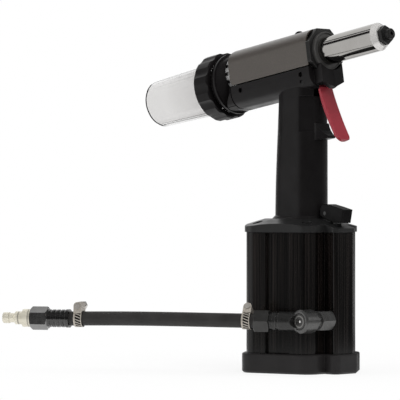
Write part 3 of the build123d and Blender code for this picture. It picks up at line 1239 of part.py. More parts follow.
with BuildPart() as clamp_bands:
    for place, lean in zip(CLAMP_SPOTS, CLAMP_LEANS):
        worm = worm_frame(place, lean)
        box_depth = HOSE_R + CLAMP_BAND + WORM_LIFT - CLAMP_BOX_FOOT
        with BuildSketch(station(worm, -CLAMP_BOX_HALF)) as arch:
            Circle(CLAMP_W / 2)
            with Locations((0, -box_depth / 2)):
                Rectangle(CLAMP_W, box_depth)
        extrude(arch.sketch, amount=2 * CLAMP_BOX_HALF)
        sleeve(ARM, place, place + CLAMP_W, HOSE_R + CLAMP_BAND)
        sleeve(ARM, place, place + CLAMP_W, HOSE_R, mode=Mode.SUBTRACT)
        sleeve(worm, -CLAMP_BOX_HALF, CLAMP_BOX_HALF, WORM_R, mode=Mode.SUBTRACT)
clamp_bands.part.label = "clamp_bands"
export_step(clamp_bands.part, "parts/clamp_bands.step")

with BuildPart() as clamp_screws:
    for place, lean in zip(CLAMP_SPOTS, CLAMP_LEANS):
        worm = worm_frame(place, lean)
        head_end = -CLAMP_BOX_HALF - WORM_HEAD_H
        sleeve(worm, -CLAMP_BOX_HALF, CLAMP_BOX_HALF + WORM_END, WORM_R)
        flats(worm, head_end, -CLAMP_BOX_HALF, WORM_HEAD_R, HEX)
        with BuildSketch(station(worm, head_end)) as slit:
            Rectangle(2 * WORM_HEAD_R + SOFT, WORM_SLOT)
        extrude(slit.sketch, amount=SOFT, mode=Mode.SUBTRACT)
clamp_screws.part.label = "clamp_screws"
export_step(clamp_screws.part, "parts/clamp_screws.step")

with BuildPart() as hose_fitting:
    rib_pitch = (FITTING_HEX_START - FITTING_FLANGE_END) / FITTING_RIBS
    hex_bar(ARM, FITTING_HEX_START, FITTING_HEX_END, FITTING_HEX)
    sleeve(ARM, FITTING_BARB_START, HOSE_END, HOSE_IN)
    sleeve(ARM, HOSE_END, FITTING_FLANGE_END, FITTING_FLANGE_R)
    sleeve(ARM, FITTING_FLANGE_END, FITTING_HEX_START, FITTING_VALLEY_R)
    for rib in range(FITTING_RIBS):
        rib_foot = FITTING_HEX_START - rib * rib_pitch
        sleeve(ARM, rib_foot - rib_pitch / 2, rib_foot, FITTING_RIB_R)
    sleeve(ARM, FITTING_BARB_START, FITTING_SOCKET, TAIL_WAY, mode=Mode.SUBTRACT)
    sleeve(ARM, FITTING_SOCKET, FITTING_HEX_END, PLUG_THREAD_R, mode=Mode.SUBTRACT)
hose_fitting.part.label = "hose_fitting"
export_step(hose_fitting.part, "parts/hose_fitting.step")

with BuildPart() as quick_plug:
    turned(ARM, ((FITTING_SOCKET, PLUG_WAY), (FITTING_SOCKET, PLUG_THREAD_R),
                 (FITTING_HEX_END, PLUG_THREAD_R), (FITTING_HEX_END, PLUG_COLLAR_R),
                 (PLUG_COLLAR_END, PLUG_COLLAR_R), (PLUG_COLLAR_END, PLUG_BARREL_R),
                 (PLUG_BARREL_END - PLUG_CONE, PLUG_BARREL_R), (PLUG_BARREL_END, PLUG_GROOVE_R),
                 (PLUG_GROOVE_END, PLUG_GROOVE_R), (PLUG_GROOVE_END, PLUG_TIP_R),
                 (PLUG_TIP_END - EDGE, PLUG_TIP_R), (PLUG_TIP_END, PLUG_TIP_R - EDGE),
                 (PLUG_TIP_END, PLUG_WAY)))
quick_plug.part.label = "quick_plug"
export_step(quick_plug.part, "parts/quick_plug.step")
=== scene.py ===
import json
from functools import reduce
from math import atan2, cos, hypot, pi, radians, sin

import bmesh
import bpy
from mathutils import Matrix, Vector


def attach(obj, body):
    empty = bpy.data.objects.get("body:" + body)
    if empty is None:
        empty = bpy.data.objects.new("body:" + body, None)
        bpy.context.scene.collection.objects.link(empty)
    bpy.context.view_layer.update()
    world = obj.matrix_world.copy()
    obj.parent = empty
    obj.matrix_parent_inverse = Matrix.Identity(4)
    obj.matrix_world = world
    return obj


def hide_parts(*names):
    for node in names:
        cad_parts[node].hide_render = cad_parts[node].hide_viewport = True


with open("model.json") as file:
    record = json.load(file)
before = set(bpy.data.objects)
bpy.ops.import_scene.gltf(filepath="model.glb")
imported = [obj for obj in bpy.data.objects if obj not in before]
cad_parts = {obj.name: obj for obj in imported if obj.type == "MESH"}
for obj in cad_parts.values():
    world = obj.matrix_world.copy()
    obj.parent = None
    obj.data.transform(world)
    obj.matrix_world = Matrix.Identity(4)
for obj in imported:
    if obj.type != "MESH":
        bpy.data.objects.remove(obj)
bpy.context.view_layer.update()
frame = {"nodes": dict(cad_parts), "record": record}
nodes = frame["nodes"]

MM = 0.001
QUARTER_TURN = radians(90.0)
ORIGIN = Vector((0, 0, 0))
X_AXIS = Vector((1, 0, 0))
UP = Vector((0, 0, 1))

# The head's tilted axis and the hose line's level axis, as in the solids
HEAD_TILT = radians(9.0)
HEAD_POINT = Vector((0, 0, 286.7)) * MM
HEAD_ALONG = Vector((cos(HEAD_TILT), 0, sin(HEAD_TILT)))
HEAD_UP = Vector((-sin(HEAD_TILT), 0, cos(HEAD_TILT)))
HEAD_SIDE = HEAD_ALONG.cross(HEAD_UP).normalized()
HOSE_YAW = radians(31.0)
HOSE_POINT = Vector((50.0, -43.0, 48.4)) * MM
HOSE_ALONG = Vector((-cos(HOSE_YAW), -sin(HOSE_YAW), 0))
HOSE_TURN = X_AXIS.rotation_difference(HOSE_ALONG).to_matrix().to_4x4()

# Each axis is a direction and a point on it
HEAD_AXIS = (HEAD_ALONG, HEAD_POINT)
HOSE_AXIS = (HOSE_ALONG, HOSE_POINT)
UPRIGHT_AXIS = (UP, ORIGIN)

# Camera, at the photograph's viewing angle: level with the tool, off its front right
VIEW_TURN = radians(46.0)
VIEW_DISTANCE = 2.3
VIEW_HEIGHT = 0.157
VIEW_SIDE = -0.0906
VIEW_LENS = 225.0
VIEW_FAR = 50.0
VIEW_RIGHT = Vector((cos(VIEW_TURN), sin(VIEW_TURN), 0))
VIEW_BACK = Vector((sin(VIEW_TURN), -cos(VIEW_TURN), 0))

# Air hose: places along the hose line and its rise there, in millimetres
HOSE_R = 6.5 * MM
HOSE_STATIONS = (46.5, 75.0, 105.0, 135.0, 165.0, 195.0, 221.0)
HOSE_RISE = (0.0, 0.2, 0.5, 0.7, 0.7, 0.4, 0.0)
HOSE_ORDER = 3
HOSE_STEPS = 12
HOSE_ROUNDNESS = 8

# Hose clamps: places and width in millimetres, and the slots counted in columns round the strip
CLAMP_SPOTS = (50.2, 208.2)
CLAMP_W = 7.6
STRIP_R = 7.7 * MM
STRIP_THICK = 0.28 * MM
STRIP_COLUMNS = 108
STRIP_ROWS = 10
STRIP_SMOOTH = radians(35.0)
SLOT_PITCH = 6
SLOT_COLUMNS = 4
SLOT_ROWS = range(1, 8)
SLOT_LEAN = radians(-2.2)
LONG_EDGE = 0.5 * MM
ROW_REACH = 0.3

# Pieces made from copies of solids
JOIN_REACH = 0.001 * MM
COPY_SMOOTH = radians(30.0)
SWIVEL_FACE = Vector((50.0, -51.3, 48.4)) * MM
WELL_R = 6.9 * MM
WELL_LONG = 8.0 * MM
WELL_SIDES = 96
COVER_LOW = -13.4 * MM
COVER_JOINT = 1.2 * MM
TRIM_BLOCK = 0.3
FITTING_TURN = radians(30.0)
HEX_START = 240.9 * MM
HEX_MIN_R = 8.6 * MM
HEX_SHRINK = 0.89


def add_object(name, data):
    """Puts new data into the scene as an object."""
    item = bpy.data.objects.new(name, data)
    bpy.context.scene.collection.objects.link(item)
    return item


def make_camera():
    data = bpy.data.cameras.new("photo_camera")
    data.lens = VIEW_LENS
    data.clip_end = VIEW_FAR
    camera = add_object("photo_camera", data)
    camera.location = VIEW_RIGHT * VIEW_SIDE + VIEW_BACK * VIEW_DISTANCE + UP * VIEW_HEIGHT
    camera.rotation_euler = (QUARTER_TURN, 0, VIEW_TURN)
    bpy.context.scene.camera = camera


# Helpers for modelling

def on_hose(place):
    """A point on the hose line, given in millimetres from the swivel."""
    return HOSE_POINT + HOSE_ALONG * (place * MM)


def only(piece):
    """Makes one piece the only selected one."""
    bpy.ops.object.select_all(action="DESELECT")
    piece.select_set(True)
    bpy.context.view_layer.objects.active = piece


def settle(piece, place):
    """Moves a piece to its place and puts the place into its mesh."""
    only(piece)
    piece.matrix_world = place
    bpy.ops.object.transform_apply(location=True, rotation=True, scale=True)


def pick(piece, kind, wanted):
    """Selects the vertices, edges or faces of a piece that are wanted."""
    bpy.ops.mesh.select_mode(type=kind)
    bpy.ops.mesh.select_all(action="DESELECT")
    cage = bmesh.from_edit_mesh(piece.data)
    for item in {"VERT": cage.verts, "EDGE": cage.edges, "FACE": cage.faces}[kind]:
        item.select_set(wanted(item))
    cage.select_flush_mode()
    bmesh.update_edit_mesh(piece.data)


def copy_along(piece, name, step):
    """A copy of a piece with its own mesh, further along the hose."""
    only(piece)
    bpy.ops.object.duplicate(linked=False)
    twin = bpy.context.object
    twin.name = name
    settle(twin, Matrix.Translation(HOSE_ALONG * (step * MM)))
    return twin


def merged_copy(node, name):
    """A copy of a solid's mesh with its seams joined."""
    piece = add_object(name, nodes[node].data.copy())
    only(piece)
    bpy.ops.object.mode_set(mode="EDIT")
    bpy.ops.mesh.select_all(action="SELECT")
    bpy.ops.mesh.customdata_custom_splitnormals_clear()
    bpy.ops.mesh.remove_doubles(threshold=JOIN_REACH)
    bpy.ops.object.mode_set(mode="OBJECT")
    bpy.ops.object.shade_smooth_by_angle(angle=COPY_SMOOTH)
    return piece


def cut(piece, tool):
    """Takes a tool's shape out of a piece, and the tool away."""
    only(piece)
    removal = piece.modifiers.new("removal", "BOOLEAN")
    removal.operation = "DIFFERENCE"
    removal.solver = "EXACT"
    removal.object = tool
    bpy.ops.object.modifier_apply(modifier=removal.name)
    only(tool)
    bpy.ops.object.delete()
    only(piece)
    bpy.ops.object.shade_smooth_by_angle(angle=COPY_SMOOTH)


# The pieces that this script adds

def make_hose():
    """One smooth line from the hose nut to the end fitting, as thick as its points' radius."""
    line = bpy.data.curves.new("air_hose_line", "CURVE")
    line.dimensions = "3D"
    line.bevel_depth = 1.0
    line.bevel_resolution = HOSE_ROUNDNESS
    line.use_fill_caps = True
    line.resolution_u = HOSE_STEPS
    spline = line.splines.new("NURBS")
    spline.points.add(len(HOSE_STATIONS) - 1)
    for point, place, rise in zip(spline.points, HOSE_STATIONS, HOSE_RISE):
        point.co = (*(on_hose(place) + UP * (rise * MM)), 1.0)
        point.radius = HOSE_R
    spline.order_u = HOSE_ORDER
    spline.use_endpoint_u = True
    return add_object("hose_tube", line)


def strip_place(point):
    """Row and column of a point on the strip while it still lies along X."""
    row = (point.x / (CLAMP_W * MM) + 0.5) * STRIP_ROWS
    column = atan2(point.y, point.z) / (2 * pi / STRIP_COLUMNS)
    return row, column


def runs_along(edge):
    first, second = edge.verts
    return abs(first.co.x - second.co.x) > LONG_EDGE


def in_slot(face):
    row, column = strip_place(face.calc_center_median())
    return int(row) in SLOT_ROWS and int(column % SLOT_PITCH) < SLOT_COLUMNS


def make_clamp_strip():
    """The slotted strip of a clamp: an open ring with leaning slots, thickened to sheet."""
    bpy.ops.object.select_all(action="DESELECT")
    bpy.ops.mesh.primitive_cylinder_add(vertices=STRIP_COLUMNS, radius=STRIP_R,
                                        depth=CLAMP_W * MM, end_fill_type="NOTHING",
                                        rotation=(0, QUARTER_TURN, 0))
    strip = bpy.context.object
    strip.name = "clamp_strip_near"
    bpy.ops.object.transform_apply(location=True, rotation=True, scale=True)
    bpy.ops.object.mode_set(mode="EDIT")
    pick(strip, "EDGE", runs_along)
    bpy.ops.mesh.subdivide(number_cuts=STRIP_ROWS - 1)
    pick(strip, "FACE", in_slot)
    bpy.ops.mesh.delete(type="FACE")
    for row in range(STRIP_ROWS + 1):
        pick(strip, "VERT", lambda vertex: abs(strip_place(vertex.co)[0] - row) < ROW_REACH)
        bpy.ops.transform.rotate(value=(row - STRIP_ROWS / 2) * SLOT_LEAN, orient_axis="X",
                                 center_override=ORIGIN)
    bpy.ops.object.mode_set(mode="OBJECT")
    wall = strip.modifiers.new("wall", "SOLIDIFY")
    wall.thickness = STRIP_THICK
    bpy.ops.object.modifier_apply(modifier=wall.name)
    bpy.ops.object.shade_smooth_by_angle(angle=STRIP_SMOOTH)
    settle(strip, Matrix.Translation(on_hose(CLAMP_SPOTS[0] + CLAMP_W / 2)) @ HOSE_TURN)
    return strip


def make_swivel_body():
    """The swivel head with its screw's well bored through the root of the arm."""
    body = merged_copy("swivel_head", "swivel_body")
    bpy.ops.object.select_all(action="DESELECT")
    bpy.ops.mesh.primitive_cylinder_add(vertices=WELL_SIDES, radius=WELL_R, depth=2 * WELL_LONG,
                                        rotation=(QUARTER_TURN, 0, 0),
                                        location=SWIVEL_FACE - Vector((0, WELL_LONG, 0)))
    cut(body, bpy.context.object)
    return body


def make_side_cover():
    """The cover with its lower edge trimmed, which leaves an open joint over the grip."""
    cover = merged_copy("top_cover", "side_cover")
    block_middle = COVER_LOW + COVER_JOINT - TRIM_BLOCK / 2
    bpy.ops.object.select_all(action="DESELECT")
    bpy.ops.mesh.primitive_cube_add(size=TRIM_BLOCK, rotation=(0, -HEAD_TILT, 0),
                                    location=HEAD_POINT + HEAD_UP * block_middle)
    cut(cover, bpy.context.object)
    return cover


def on_hexagon(vertex):
    return vertex.co.x > HEX_START and hypot(vertex.co.y, vertex.co.z) > HEX_MIN_R


def make_end_fitting():
    """The hose's end fitting with a smaller hexagon, turned flat to the front."""
    fitting = merged_copy("hose_fitting", "end_fitting")
    along_x = Matrix.Translation(HOSE_POINT) @ HOSE_TURN
    settle(fitting, along_x.inverted())
    bpy.ops.object.mode_set(mode="EDIT")
    pick(fitting, "VERT", on_hexagon)
    bpy.ops.transform.resize(value=(1.0, HEX_SHRINK, HEX_SHRINK), center_override=ORIGIN)
    bpy.ops.object.mode_set(mode="OBJECT")
    settle(fitting, along_x @ Matrix.Rotation(FITTING_TURN, 4, "X"))
    return fitting


make_camera()
hose_tube = make_hose()
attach(hose_tube, "hose_line")
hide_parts("air_hose")
strip_near = make_clamp_strip()
strip_far = copy_along(strip_near, "clamp_strip_far", CLAMP_SPOTS[1] - CLAMP_SPOTS[0])
for strip in (strip_near, strip_far):
    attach(strip, "hose_line")
swivel_body = make_swivel_body()
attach(swivel_body, "hose_line")
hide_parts("swivel_head")
side_cover = make_side_cover()
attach(side_cover, "body")
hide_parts("top_cover")
end_fitting = make_end_fitting()
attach(end_fitting, "hose_line")
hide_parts("hose_fitting")


# Helpers for node trees

def rgb(red, green, blue):
    return (red, green, blue, 1.0)


def grey(level):
    return rgb(level, level, level)


class Graph:
    """A node tree under construction."""

    def __init__(self, tree):
        self.tree = tree

    def settle(self, node, inputs):
        """Feeds a node's inputs from sockets or plain values."""
        for key, value in inputs.items():
            if isinstance(value, bpy.types.NodeSocket):
                self.tree.links.new(value, node.inputs[key])
            else:
                node.inputs[key].default_value = value

    def add(self, kind, inputs=None, **attributes):
        node = self.tree.nodes.new(kind)
        for key, value in attributes.items():
            setattr(node, key, value)
        self.settle(node, inputs or {})
        return node

    def math(self, operation, *values):
        return self.add("ShaderNodeMath", dict(enumerate(values)), operation=operation).outputs[0]

    def product(self, *values):
        return reduce(lambda first, second: self.math("MULTIPLY", first, second), values)

    def most(self, *values):
        """The largest of some values."""
        return reduce(lambda first, second: self.math("MAXIMUM", first, second), values)

    def rest(self, value):
        """What a share leaves over."""
        return self.math("SUBTRACT", 1.0, value)

    def measure(self, operation, *vectors):
        """A number taken from vectors: a length, a distance or a dot product."""
        node = self.add("ShaderNodeVectorMath", dict(enumerate(vectors)), operation=operation)
        return node.outputs["Value"]

    def spread(self, value, low, high, start=0.3, end=0.7, steps="LINEAR"):
        """A value stretched to run from low to high; noise mostly lies from 0.3 to 0.7."""
        node = self.add("ShaderNodeMapRange", interpolation_type=steps)
        self.settle(node, {"Value": value, "From Min": start, "From Max": end,
                           "To Min": low, "To Max": high})
        return node.outputs[0]

    def ramp(self, value, edge, low=0.0, high=1.0):
        """A soft step between two levels, over an edge with a start and an end."""
        return self.spread(value, low, high, *edge, steps="SMOOTHSTEP")

    def choose(self, share, first, second):
        """A mix of two shaders."""
        return self.add("ShaderNodeMixShader", {0: share, 1: first, 2: second}).outputs[0]


class Finish(Graph):
    """A material under construction, with the shader that ends it."""

    def __init__(self, name, **settings):
        self.material = bpy.data.materials.new(name)
        self.material.use_nodes = True
        super().__init__(self.material.node_tree)
        self.shader = self.tree.nodes["Principled BSDF"]
        self.place = self.add("ShaderNodeTexCoord").outputs["Object"]
        self.rounded = None
        self.gives(**settings)

    def gives(self, **settings):
        """Feeds the shader; an underscore stands for a space in an input's name."""
        self.settle(self.shader, {key.replace("_", " "): value for key, value in settings.items()})

    def mapped(self, scale, turn=(0, 0, 0), shift=(0, 0, 0)):
        """Object coordinates, turned, moved and stretched."""
        turned = self.add("ShaderNodeMapping", {"Vector": self.place, "Location": shift,
                                                "Rotation": turn}).outputs[0]
        return self.add("ShaderNodeVectorMath", {0: turned, 1: scale},
                        operation="MULTIPLY").outputs[0]

    def along_x(self, axis, scale):
        """Object coordinates with an axis laid along X, then stretched."""
        along, point = axis
        spin = X_AXIS.rotation_difference(along).inverted()
        return self.mapped(scale, turn=spin.to_euler(), shift=-(spin @ point))

    def reach(self, axis):
        """How far a place lies along an axis, from the point on it."""
        along, point = axis
        ahead = self.measure("DOT_PRODUCT", self.place, along)
        return self.math("SUBTRACT", ahead, along.dot(point))

    def cloud(self, scale, detail=4.0, roughness=0.6, vector=None):
        """Soft noise, a value from 0 to 1."""
        noise = self.add("ShaderNodeTexNoise", {"Vector": vector or self.place, "Scale": scale,
                                                "Detail": detail, "Roughness": roughness})
        return noise.outputs["Fac"]

    def varied(self, scale, low, high, detail=4.0):
        """A number that varies softly from place to place."""
        return self.spread(self.cloud(scale, detail), low, high)

    def blend(self, share, first, second):
        """A mix of two colours, or of a colour and another mix."""
        return self.add("ShaderNodeMix", {0: share, 6: first, 7: second},
                        data_type="RGBA").outputs[2]

    def patches(self, scale, first, second):
        """Two colours in soft patches."""
        return self.blend(self.varied(scale, 0.0, 1.0), first, second)

    def band(self, value, start, end, soft):
        """One between two places on a scale, falling off softly outside them."""
        rise = self.spread(value, 0.0, 1.0, start - soft, start)
        fall = self.spread(value, 1.0, 0.0, end, end + soft)
        return self.product(rise, fall)

    def edges(self):
        """Bright where an outer edge is near: the rounded normal leaves the true one there."""
        bevel = self.add("ShaderNodeBevel", {"Radius": EDGE_ROUND}, samples=EDGE_SAMPLES)
        self.rounded = bevel.outputs[0]
        flat = self.add("ShaderNodeNewGeometry").outputs["Normal"]
        agree = self.measure("DOT_PRODUCT", self.rounded, flat)
        return self.spread(agree, 1.0, 0.0, *EDGE_AGREE)

    def rubbed(self, share, worn, body, edge_light):
        """A colour with its edges rubbed lighter."""
        return self.blend(self.product(worn, share), body, edge_light)

    def bumps(self, height, strength, deep):
        """Relief in the surface, over the rounded edges where they were asked for."""
        bump = self.add("ShaderNodeBump", {"Height": height, "Strength": strength,
                                           "Distance": deep})
        if self.rounded:
            self.settle(bump, {"Normal": self.rounded})
        self.gives(Normal=bump.outputs[0])


# Finishes: scales of noise are in waves to a metre

EDGE_ROUND = 0.35 * MM
EDGE_SAMPLES = 6
EDGE_AGREE = (0.86, 0.995)
FINE_DEEP = 0.02 * MM

MOULD_PATCHES = 38.0
MOULD_RUBS = 160.0
MOULD_SHEEN = 95.0
MOULD_SMOOTHER = 0.06
MOULD_ROUGHER = 0.07
MOULD_DEEP = 0.12 * MM
SEAM_EDGE = (0.10 * MM, 0.28 * MM)
SEAM_DEEP = 3.0
SEAM_DARK = grey(0.002)

METAL_PATCHES = 60.0
METAL_MARKS = 240.0
METAL_RUB = 0.7
RING_DRIFT = 40.0
RING_SMOOTHER = 0.75
RING_ROUGHER = 1.25
ZONE_SOFT = 0.15 * MM
DULL_SOFT = 0.2 * MM
POLISHED_DARK = rgb(0.36, 0.348, 0.332)
POLISHED_LIGHT = rgb(0.405, 0.393, 0.378)
# Stretch of the sleeve's front end that carries a painted highlight
SLEEVE_END = (101.0, 106.5)

BOTTLE_FAR = -0.115
BOTTLE_NEAR = -0.062
# Radius inside which the clamp band is painted near black, as painted shade in the slots
SLOT_SHADE_EDGE = (7.33 * MM, 7.40 * MM)
# Radii over which the painted highlight at the screw's centre fades out
SCREW_CENTRE = (0.8 * MM, 1.3 * MM)
SCREW_RIM = (4.5 * MM, 5.4 * MM, 0.3 * MM)


def moulded(name, dark, light, edge_light, rough, grain, specular, seam=False, bump=0.12):
    """Moulded plastic or rubber: a fine grain, cloudy colour and rubbed edges.

    A seam is the line where two mould halves meet, on the tool's mid-plane.
    """
    f = Finish(name, Specular_IOR_Level=specular)
    worn = f.edges()
    body = f.patches(MOULD_PATCHES, dark, light)
    colour = f.rubbed(f.varied(MOULD_RUBS, 0.0, 1.0), worn, body, edge_light)
    height = f.cloud(grain, detail=3.0)
    if seam:
        across = f.add("ShaderNodeSeparateXYZ", {0: f.place}).outputs["Y"]
        line = f.spread(f.math("ABSOLUTE", across), 1.0, 0.0, *SEAM_EDGE)
        colour = f.blend(line, colour, SEAM_DARK)
        height = f.math("SUBTRACT", height, f.product(line, SEAM_DEEP))
    sheen = f.varied(MOULD_SHEEN, rough - MOULD_SMOOTHER, rough + MOULD_ROUGHER)
    f.gives(Base_Color=colour, Roughness=sheen)
    f.bumps(height, bump, MOULD_DEEP)
    return f.material


def machined(name, dark, light, axis, rough, edge_light=None, metallic=1.0, specular=0.5,
             pitch=0.5, streak=0.25, handled=0.12, zones=(), dull=None):
    """Turned metal: fine tool marks round an axis, handling marks and brightened edges.

    Zones are stretches along the axis painted a colour of their own, which on some pieces is
    painted shade or a painted highlight; a dull stretch is less metallic.
    """
    f = Finish(name, Metallic=metallic, Specular_IOR_Level=specular)
    worn = f.edges()
    ring_scale = (1.0 / (pitch * MM), RING_DRIFT, RING_DRIFT)
    rings = f.cloud(1.0, detail=3.0, roughness=0.5, vector=f.along_x(axis, ring_scale))
    body = f.patches(METAL_PATCHES, dark, light)
    for start, end, tone in zones:
        body = f.blend(f.band(f.reach(axis), start * MM, end * MM, ZONE_SOFT), body, tone)
    colour = f.rubbed(METAL_RUB, worn, body, edge_light or light)
    tooling = f.spread(rings, rough * RING_SMOOTHER, rough * RING_ROUGHER)
    marks = f.varied(METAL_MARKS, 0.0, handled, detail=5.0)
    f.gives(Base_Color=colour, Roughness=f.math("ADD", tooling, marks))
    if dull:
        start, end, level = dull
        share = f.band(f.reach(axis), start * MM, end * MM, DULL_SOFT)
        f.gives(Metallic=f.spread(share, metallic, level, 0.0, 1.0))
    f.bumps(rings, streak, FINE_DEEP)
    return f.material


def extruded_black():
    """Black anodised extrusion: glossy, with faint draw lines up and down."""
    f = Finish("black_anodised", Specular_IOR_Level=0.3)
    worn = f.edges()
    lines = f.cloud(1.0, vector=f.mapped(scale=(900.0, 900.0, 6.0)))
    tint = f.blend(f.spread(lines, 0.0, 1.0, start=0.42, end=0.62),
                   rgb(0.0010, 0.0009, 0.0009), rgb(0.0112, 0.0088, 0.0079))
    f.gives(Base_Color=f.rubbed(0.35, worn, tint, rgb(0.05, 0.05, 0.052)),
            Roughness=f.spread(lines, 0.14, 0.24))
    f.bumps(lines, strength=0.08, deep=FINE_DEEP)
    return f.material


def gunmetal_paint():
    """Metallic paint: flakes, a satin clear coat and slightly rubbed edges."""
    f = Finish("gunmetal", Metallic=0.55, Coat_Weight=1.0, Coat_Roughness=0.32)
    worn = f.edges()
    flakes = f.add("ShaderNodeTexVoronoi", {"Vector": f.place, "Scale": 2600.0}).outputs["Color"]
    flake = f.add("ShaderNodeSeparateXYZ", {0: flakes}).outputs["X"]
    body = f.blend(flake, rgb(0.047, 0.038, 0.030), rgb(0.076, 0.062, 0.050))
    cloudy = f.blend(f.varied(30.0, 0.0, 0.35), body, rgb(0.051, 0.041, 0.033))
    f.gives(Base_Color=f.rubbed(0.5, worn, cloudy, rgb(0.3, 0.28, 0.26)),
            Roughness=f.varied(120.0, 0.38, 0.5))
    f.bumps(flake, strength=0.05, deep=FINE_DEEP)
    return f.material


def clear_bottle():
    """Clear moulded plastic: greyer towards the collar, with faint flow marks and scratches."""
    f = Finish("clear_plastic", IOR=1.24, Transmission_Weight=1.0)
    along = f.measure("DOT_PRODUCT", f.place, HEAD_ALONG)
    depth = f.spread(along, 0.0, 1.0, BOTTLE_FAR, BOTTLE_NEAR)
    lengthwise = f.mapped(scale=(60.0, 900.0, 900.0), turn=(0, HEAD_TILT, 0))
    scratches = f.cloud(1.0, detail=5.0, vector=lengthwise)
    f.gives(Base_Color=f.blend(depth, rgb(0.835, 0.83, 0.825), rgb(0.63, 0.62, 0.617)),
            Roughness=f.spread(scratches, 0.0, 0.03))
    f.bumps(f.cloud(26.0, detail=3.0), strength=0.05, deep=0.4 * MM)
    return f.material


def hose_skin():
    """Rubber hose with a faint wrapped-cloth print."""
    f = Finish("hose_rubber", Specular_IOR_Level=0.35)
    ridges = f.cloud(1.0, detail=3.0, vector=f.along_x(HOSE_AXIS, (90.0, 1500.0, 1500.0)))
    f.gives(Base_Color=f.patches(55.0, rgb(0.020, 0.019, 0.018), rgb(0.032, 0.030, 0.029)),
            Roughness=f.spread(ridges, 0.5, 0.68))
    f.bumps(ridges, strength=0.2, deep=0.08 * MM)
    return f.material


def clamp_finish():
    """Plated strip steel: dull silver, with painted shade on the band that shows through the
    slots.
    """
    f = Finish("clamp_steel", Metallic=0.45)
    worn = f.edges()
    out = f.measure("LENGTH", f.along_x(HOSE_AXIS, (0.0, 1.0, 1.0)))
    # Painted shade: the band under the strip is painted near black where the slots show it
    slot_shade = f.spread(out, 1.0, 0.0, *SLOT_SHADE_EDGE)
    plate = f.patches(90.0, rgb(0.42, 0.385, 0.335), rgb(0.56, 0.515, 0.455))
    colour = f.rubbed(0.6, worn, plate, rgb(0.70, 0.66, 0.60))
    f.gives(Base_Color=f.blend(slot_shade, colour, rgb(0.004, 0.0035, 0.003)),
            Roughness=f.varied(300.0, 0.28, 0.44))
    f.bumps(f.cloud(500.0), strength=0.1, deep=0.03 * MM)
    return f.material


def turned_face():
    """Screw head turned in rings: a painted highlight at the centre, a dark dish and a lighter
    rim.
    """
    f = Finish("swivel_screw_steel", Metallic=0.4)
    worn = f.edges()
    out = f.measure("LENGTH", f.mapped(scale=(1.0, 0.0, 1.0), shift=-SWIVEL_FACE))
    colour = f.patches(150.0, rgb(0.030, 0.029, 0.028), rgb(0.050, 0.049, 0.047))
    colour = f.blend(f.band(out, *SCREW_RIM), colour, rgb(0.16, 0.157, 0.15))
    # Painted highlight: a near-white spot at the screw's centre
    colour = f.blend(f.spread(out, 1.0, 0.0, *SCREW_CENTRE), colour, rgb(0.85, 0.84, 0.82))
    f.gives(Base_Color=f.rubbed(0.4, worn, colour, rgb(0.2, 0.195, 0.19)),
            Roughness=f.varied(300.0, 0.24, 0.36))
    rings = f.add("ShaderNodeTexWave", {"Vector": out, "Scale": 900.0}).outputs["Fac"]
    f.bumps(rings, strength=0.05, deep=FINE_DEEP)
    return f.material


def make_finishes():
    """The finish of each material in the record."""
    return {
        "black_anodised": extruded_black(),
        "black_cast": moulded(
            "black_cast", grey(0.010), grey(0.016), edge_light=grey(0.05),
            rough=0.36, grain=700.0, specular=0.5),
        "plain_aluminium": machined(
            "plain_aluminium", grey(0.42), grey(0.54), HEAD_AXIS, rough=0.34),
        "rubber_boot": moulded(
            "rubber_boot", rgb(0.0115, 0.0104, 0.0106), rgb(0.0175, 0.016, 0.0163),
            edge_light=rgb(0.05, 0.048, 0.047), rough=0.46, grain=520.0, specular=0.3, bump=0.2),
        "rubber_seal": moulded(
            "rubber_seal", grey(0.008), grey(0.014), edge_light=grey(0.03),
            rough=0.6, grain=600.0, specular=0.3),
        "black_steel": machined(
            "black_steel", rgb(0.012, 0.012, 0.013), rgb(0.02, 0.02, 0.021), HEAD_AXIS,
            rough=0.36, edge_light=grey(0.12), metallic=0.35, specular=0.25),
        "ground_steel": machined("ground_steel", grey(0.5), grey(0.65), HEAD_AXIS, rough=0.2),
        "spring_steel": machined(
            "spring_steel", rgb(0.4, 0.4, 0.41), rgb(0.55, 0.55, 0.56), UPRIGHT_AXIS, rough=0.3),
        "bright_steel": machined(
            "bright_steel", POLISHED_DARK, POLISHED_LIGHT, HEAD_AXIS,
            rough=0.10, pitch=0.3, streak=0.04, handled=0.04),
        "dark_steel": machined(
            "dark_steel", rgb(0.050, 0.049, 0.048), rgb(0.070, 0.069, 0.067), HOSE_AXIS,
            rough=0.3, edge_light=rgb(0.22, 0.215, 0.21), metallic=0.75),
        "bronze": machined(
            "bronze", rgb(0.5, 0.33, 0.14), rgb(0.62, 0.43, 0.2), UPRIGHT_AXIS, rough=0.28),
        "black_plastic": moulded(
            "black_plastic", rgb(0.0058, 0.0051, 0.0053), rgb(0.0094, 0.0085, 0.0088),
            edge_light=rgb(0.035, 0.034, 0.034), rough=0.34, grain=900.0, specular=0.14,
            seam=True),
        "clear_plastic": clear_bottle(),
        "gunmetal": gunmetal_paint(),
        "red_plastic": moulded(
            "red_plastic", rgb(0.265, 0.024, 0.036), rgb(0.320, 0.031, 0.045),
            edge_light=rgb(0.45, 0.06, 0.07), rough=0.40, grain=800.0, specular=0.4, bump=0.08),
        "hose_rubber": hose_skin(),
        "clamp_steel": clamp_finish(),
        "nickel": machined(
            "nickel", rgb(0.66, 0.625, 0.52), rgb(0.80, 0.76, 0.64), HOSE_AXIS,
            rough=0.3, metallic=0.4, pitch=1.5, streak=0.06,
            zones=((269.2, 270.4, rgb(0.34, 0.32, 0.27)), (259.2, 260.4, rgb(0.40, 0.38, 0.32)))),
    }


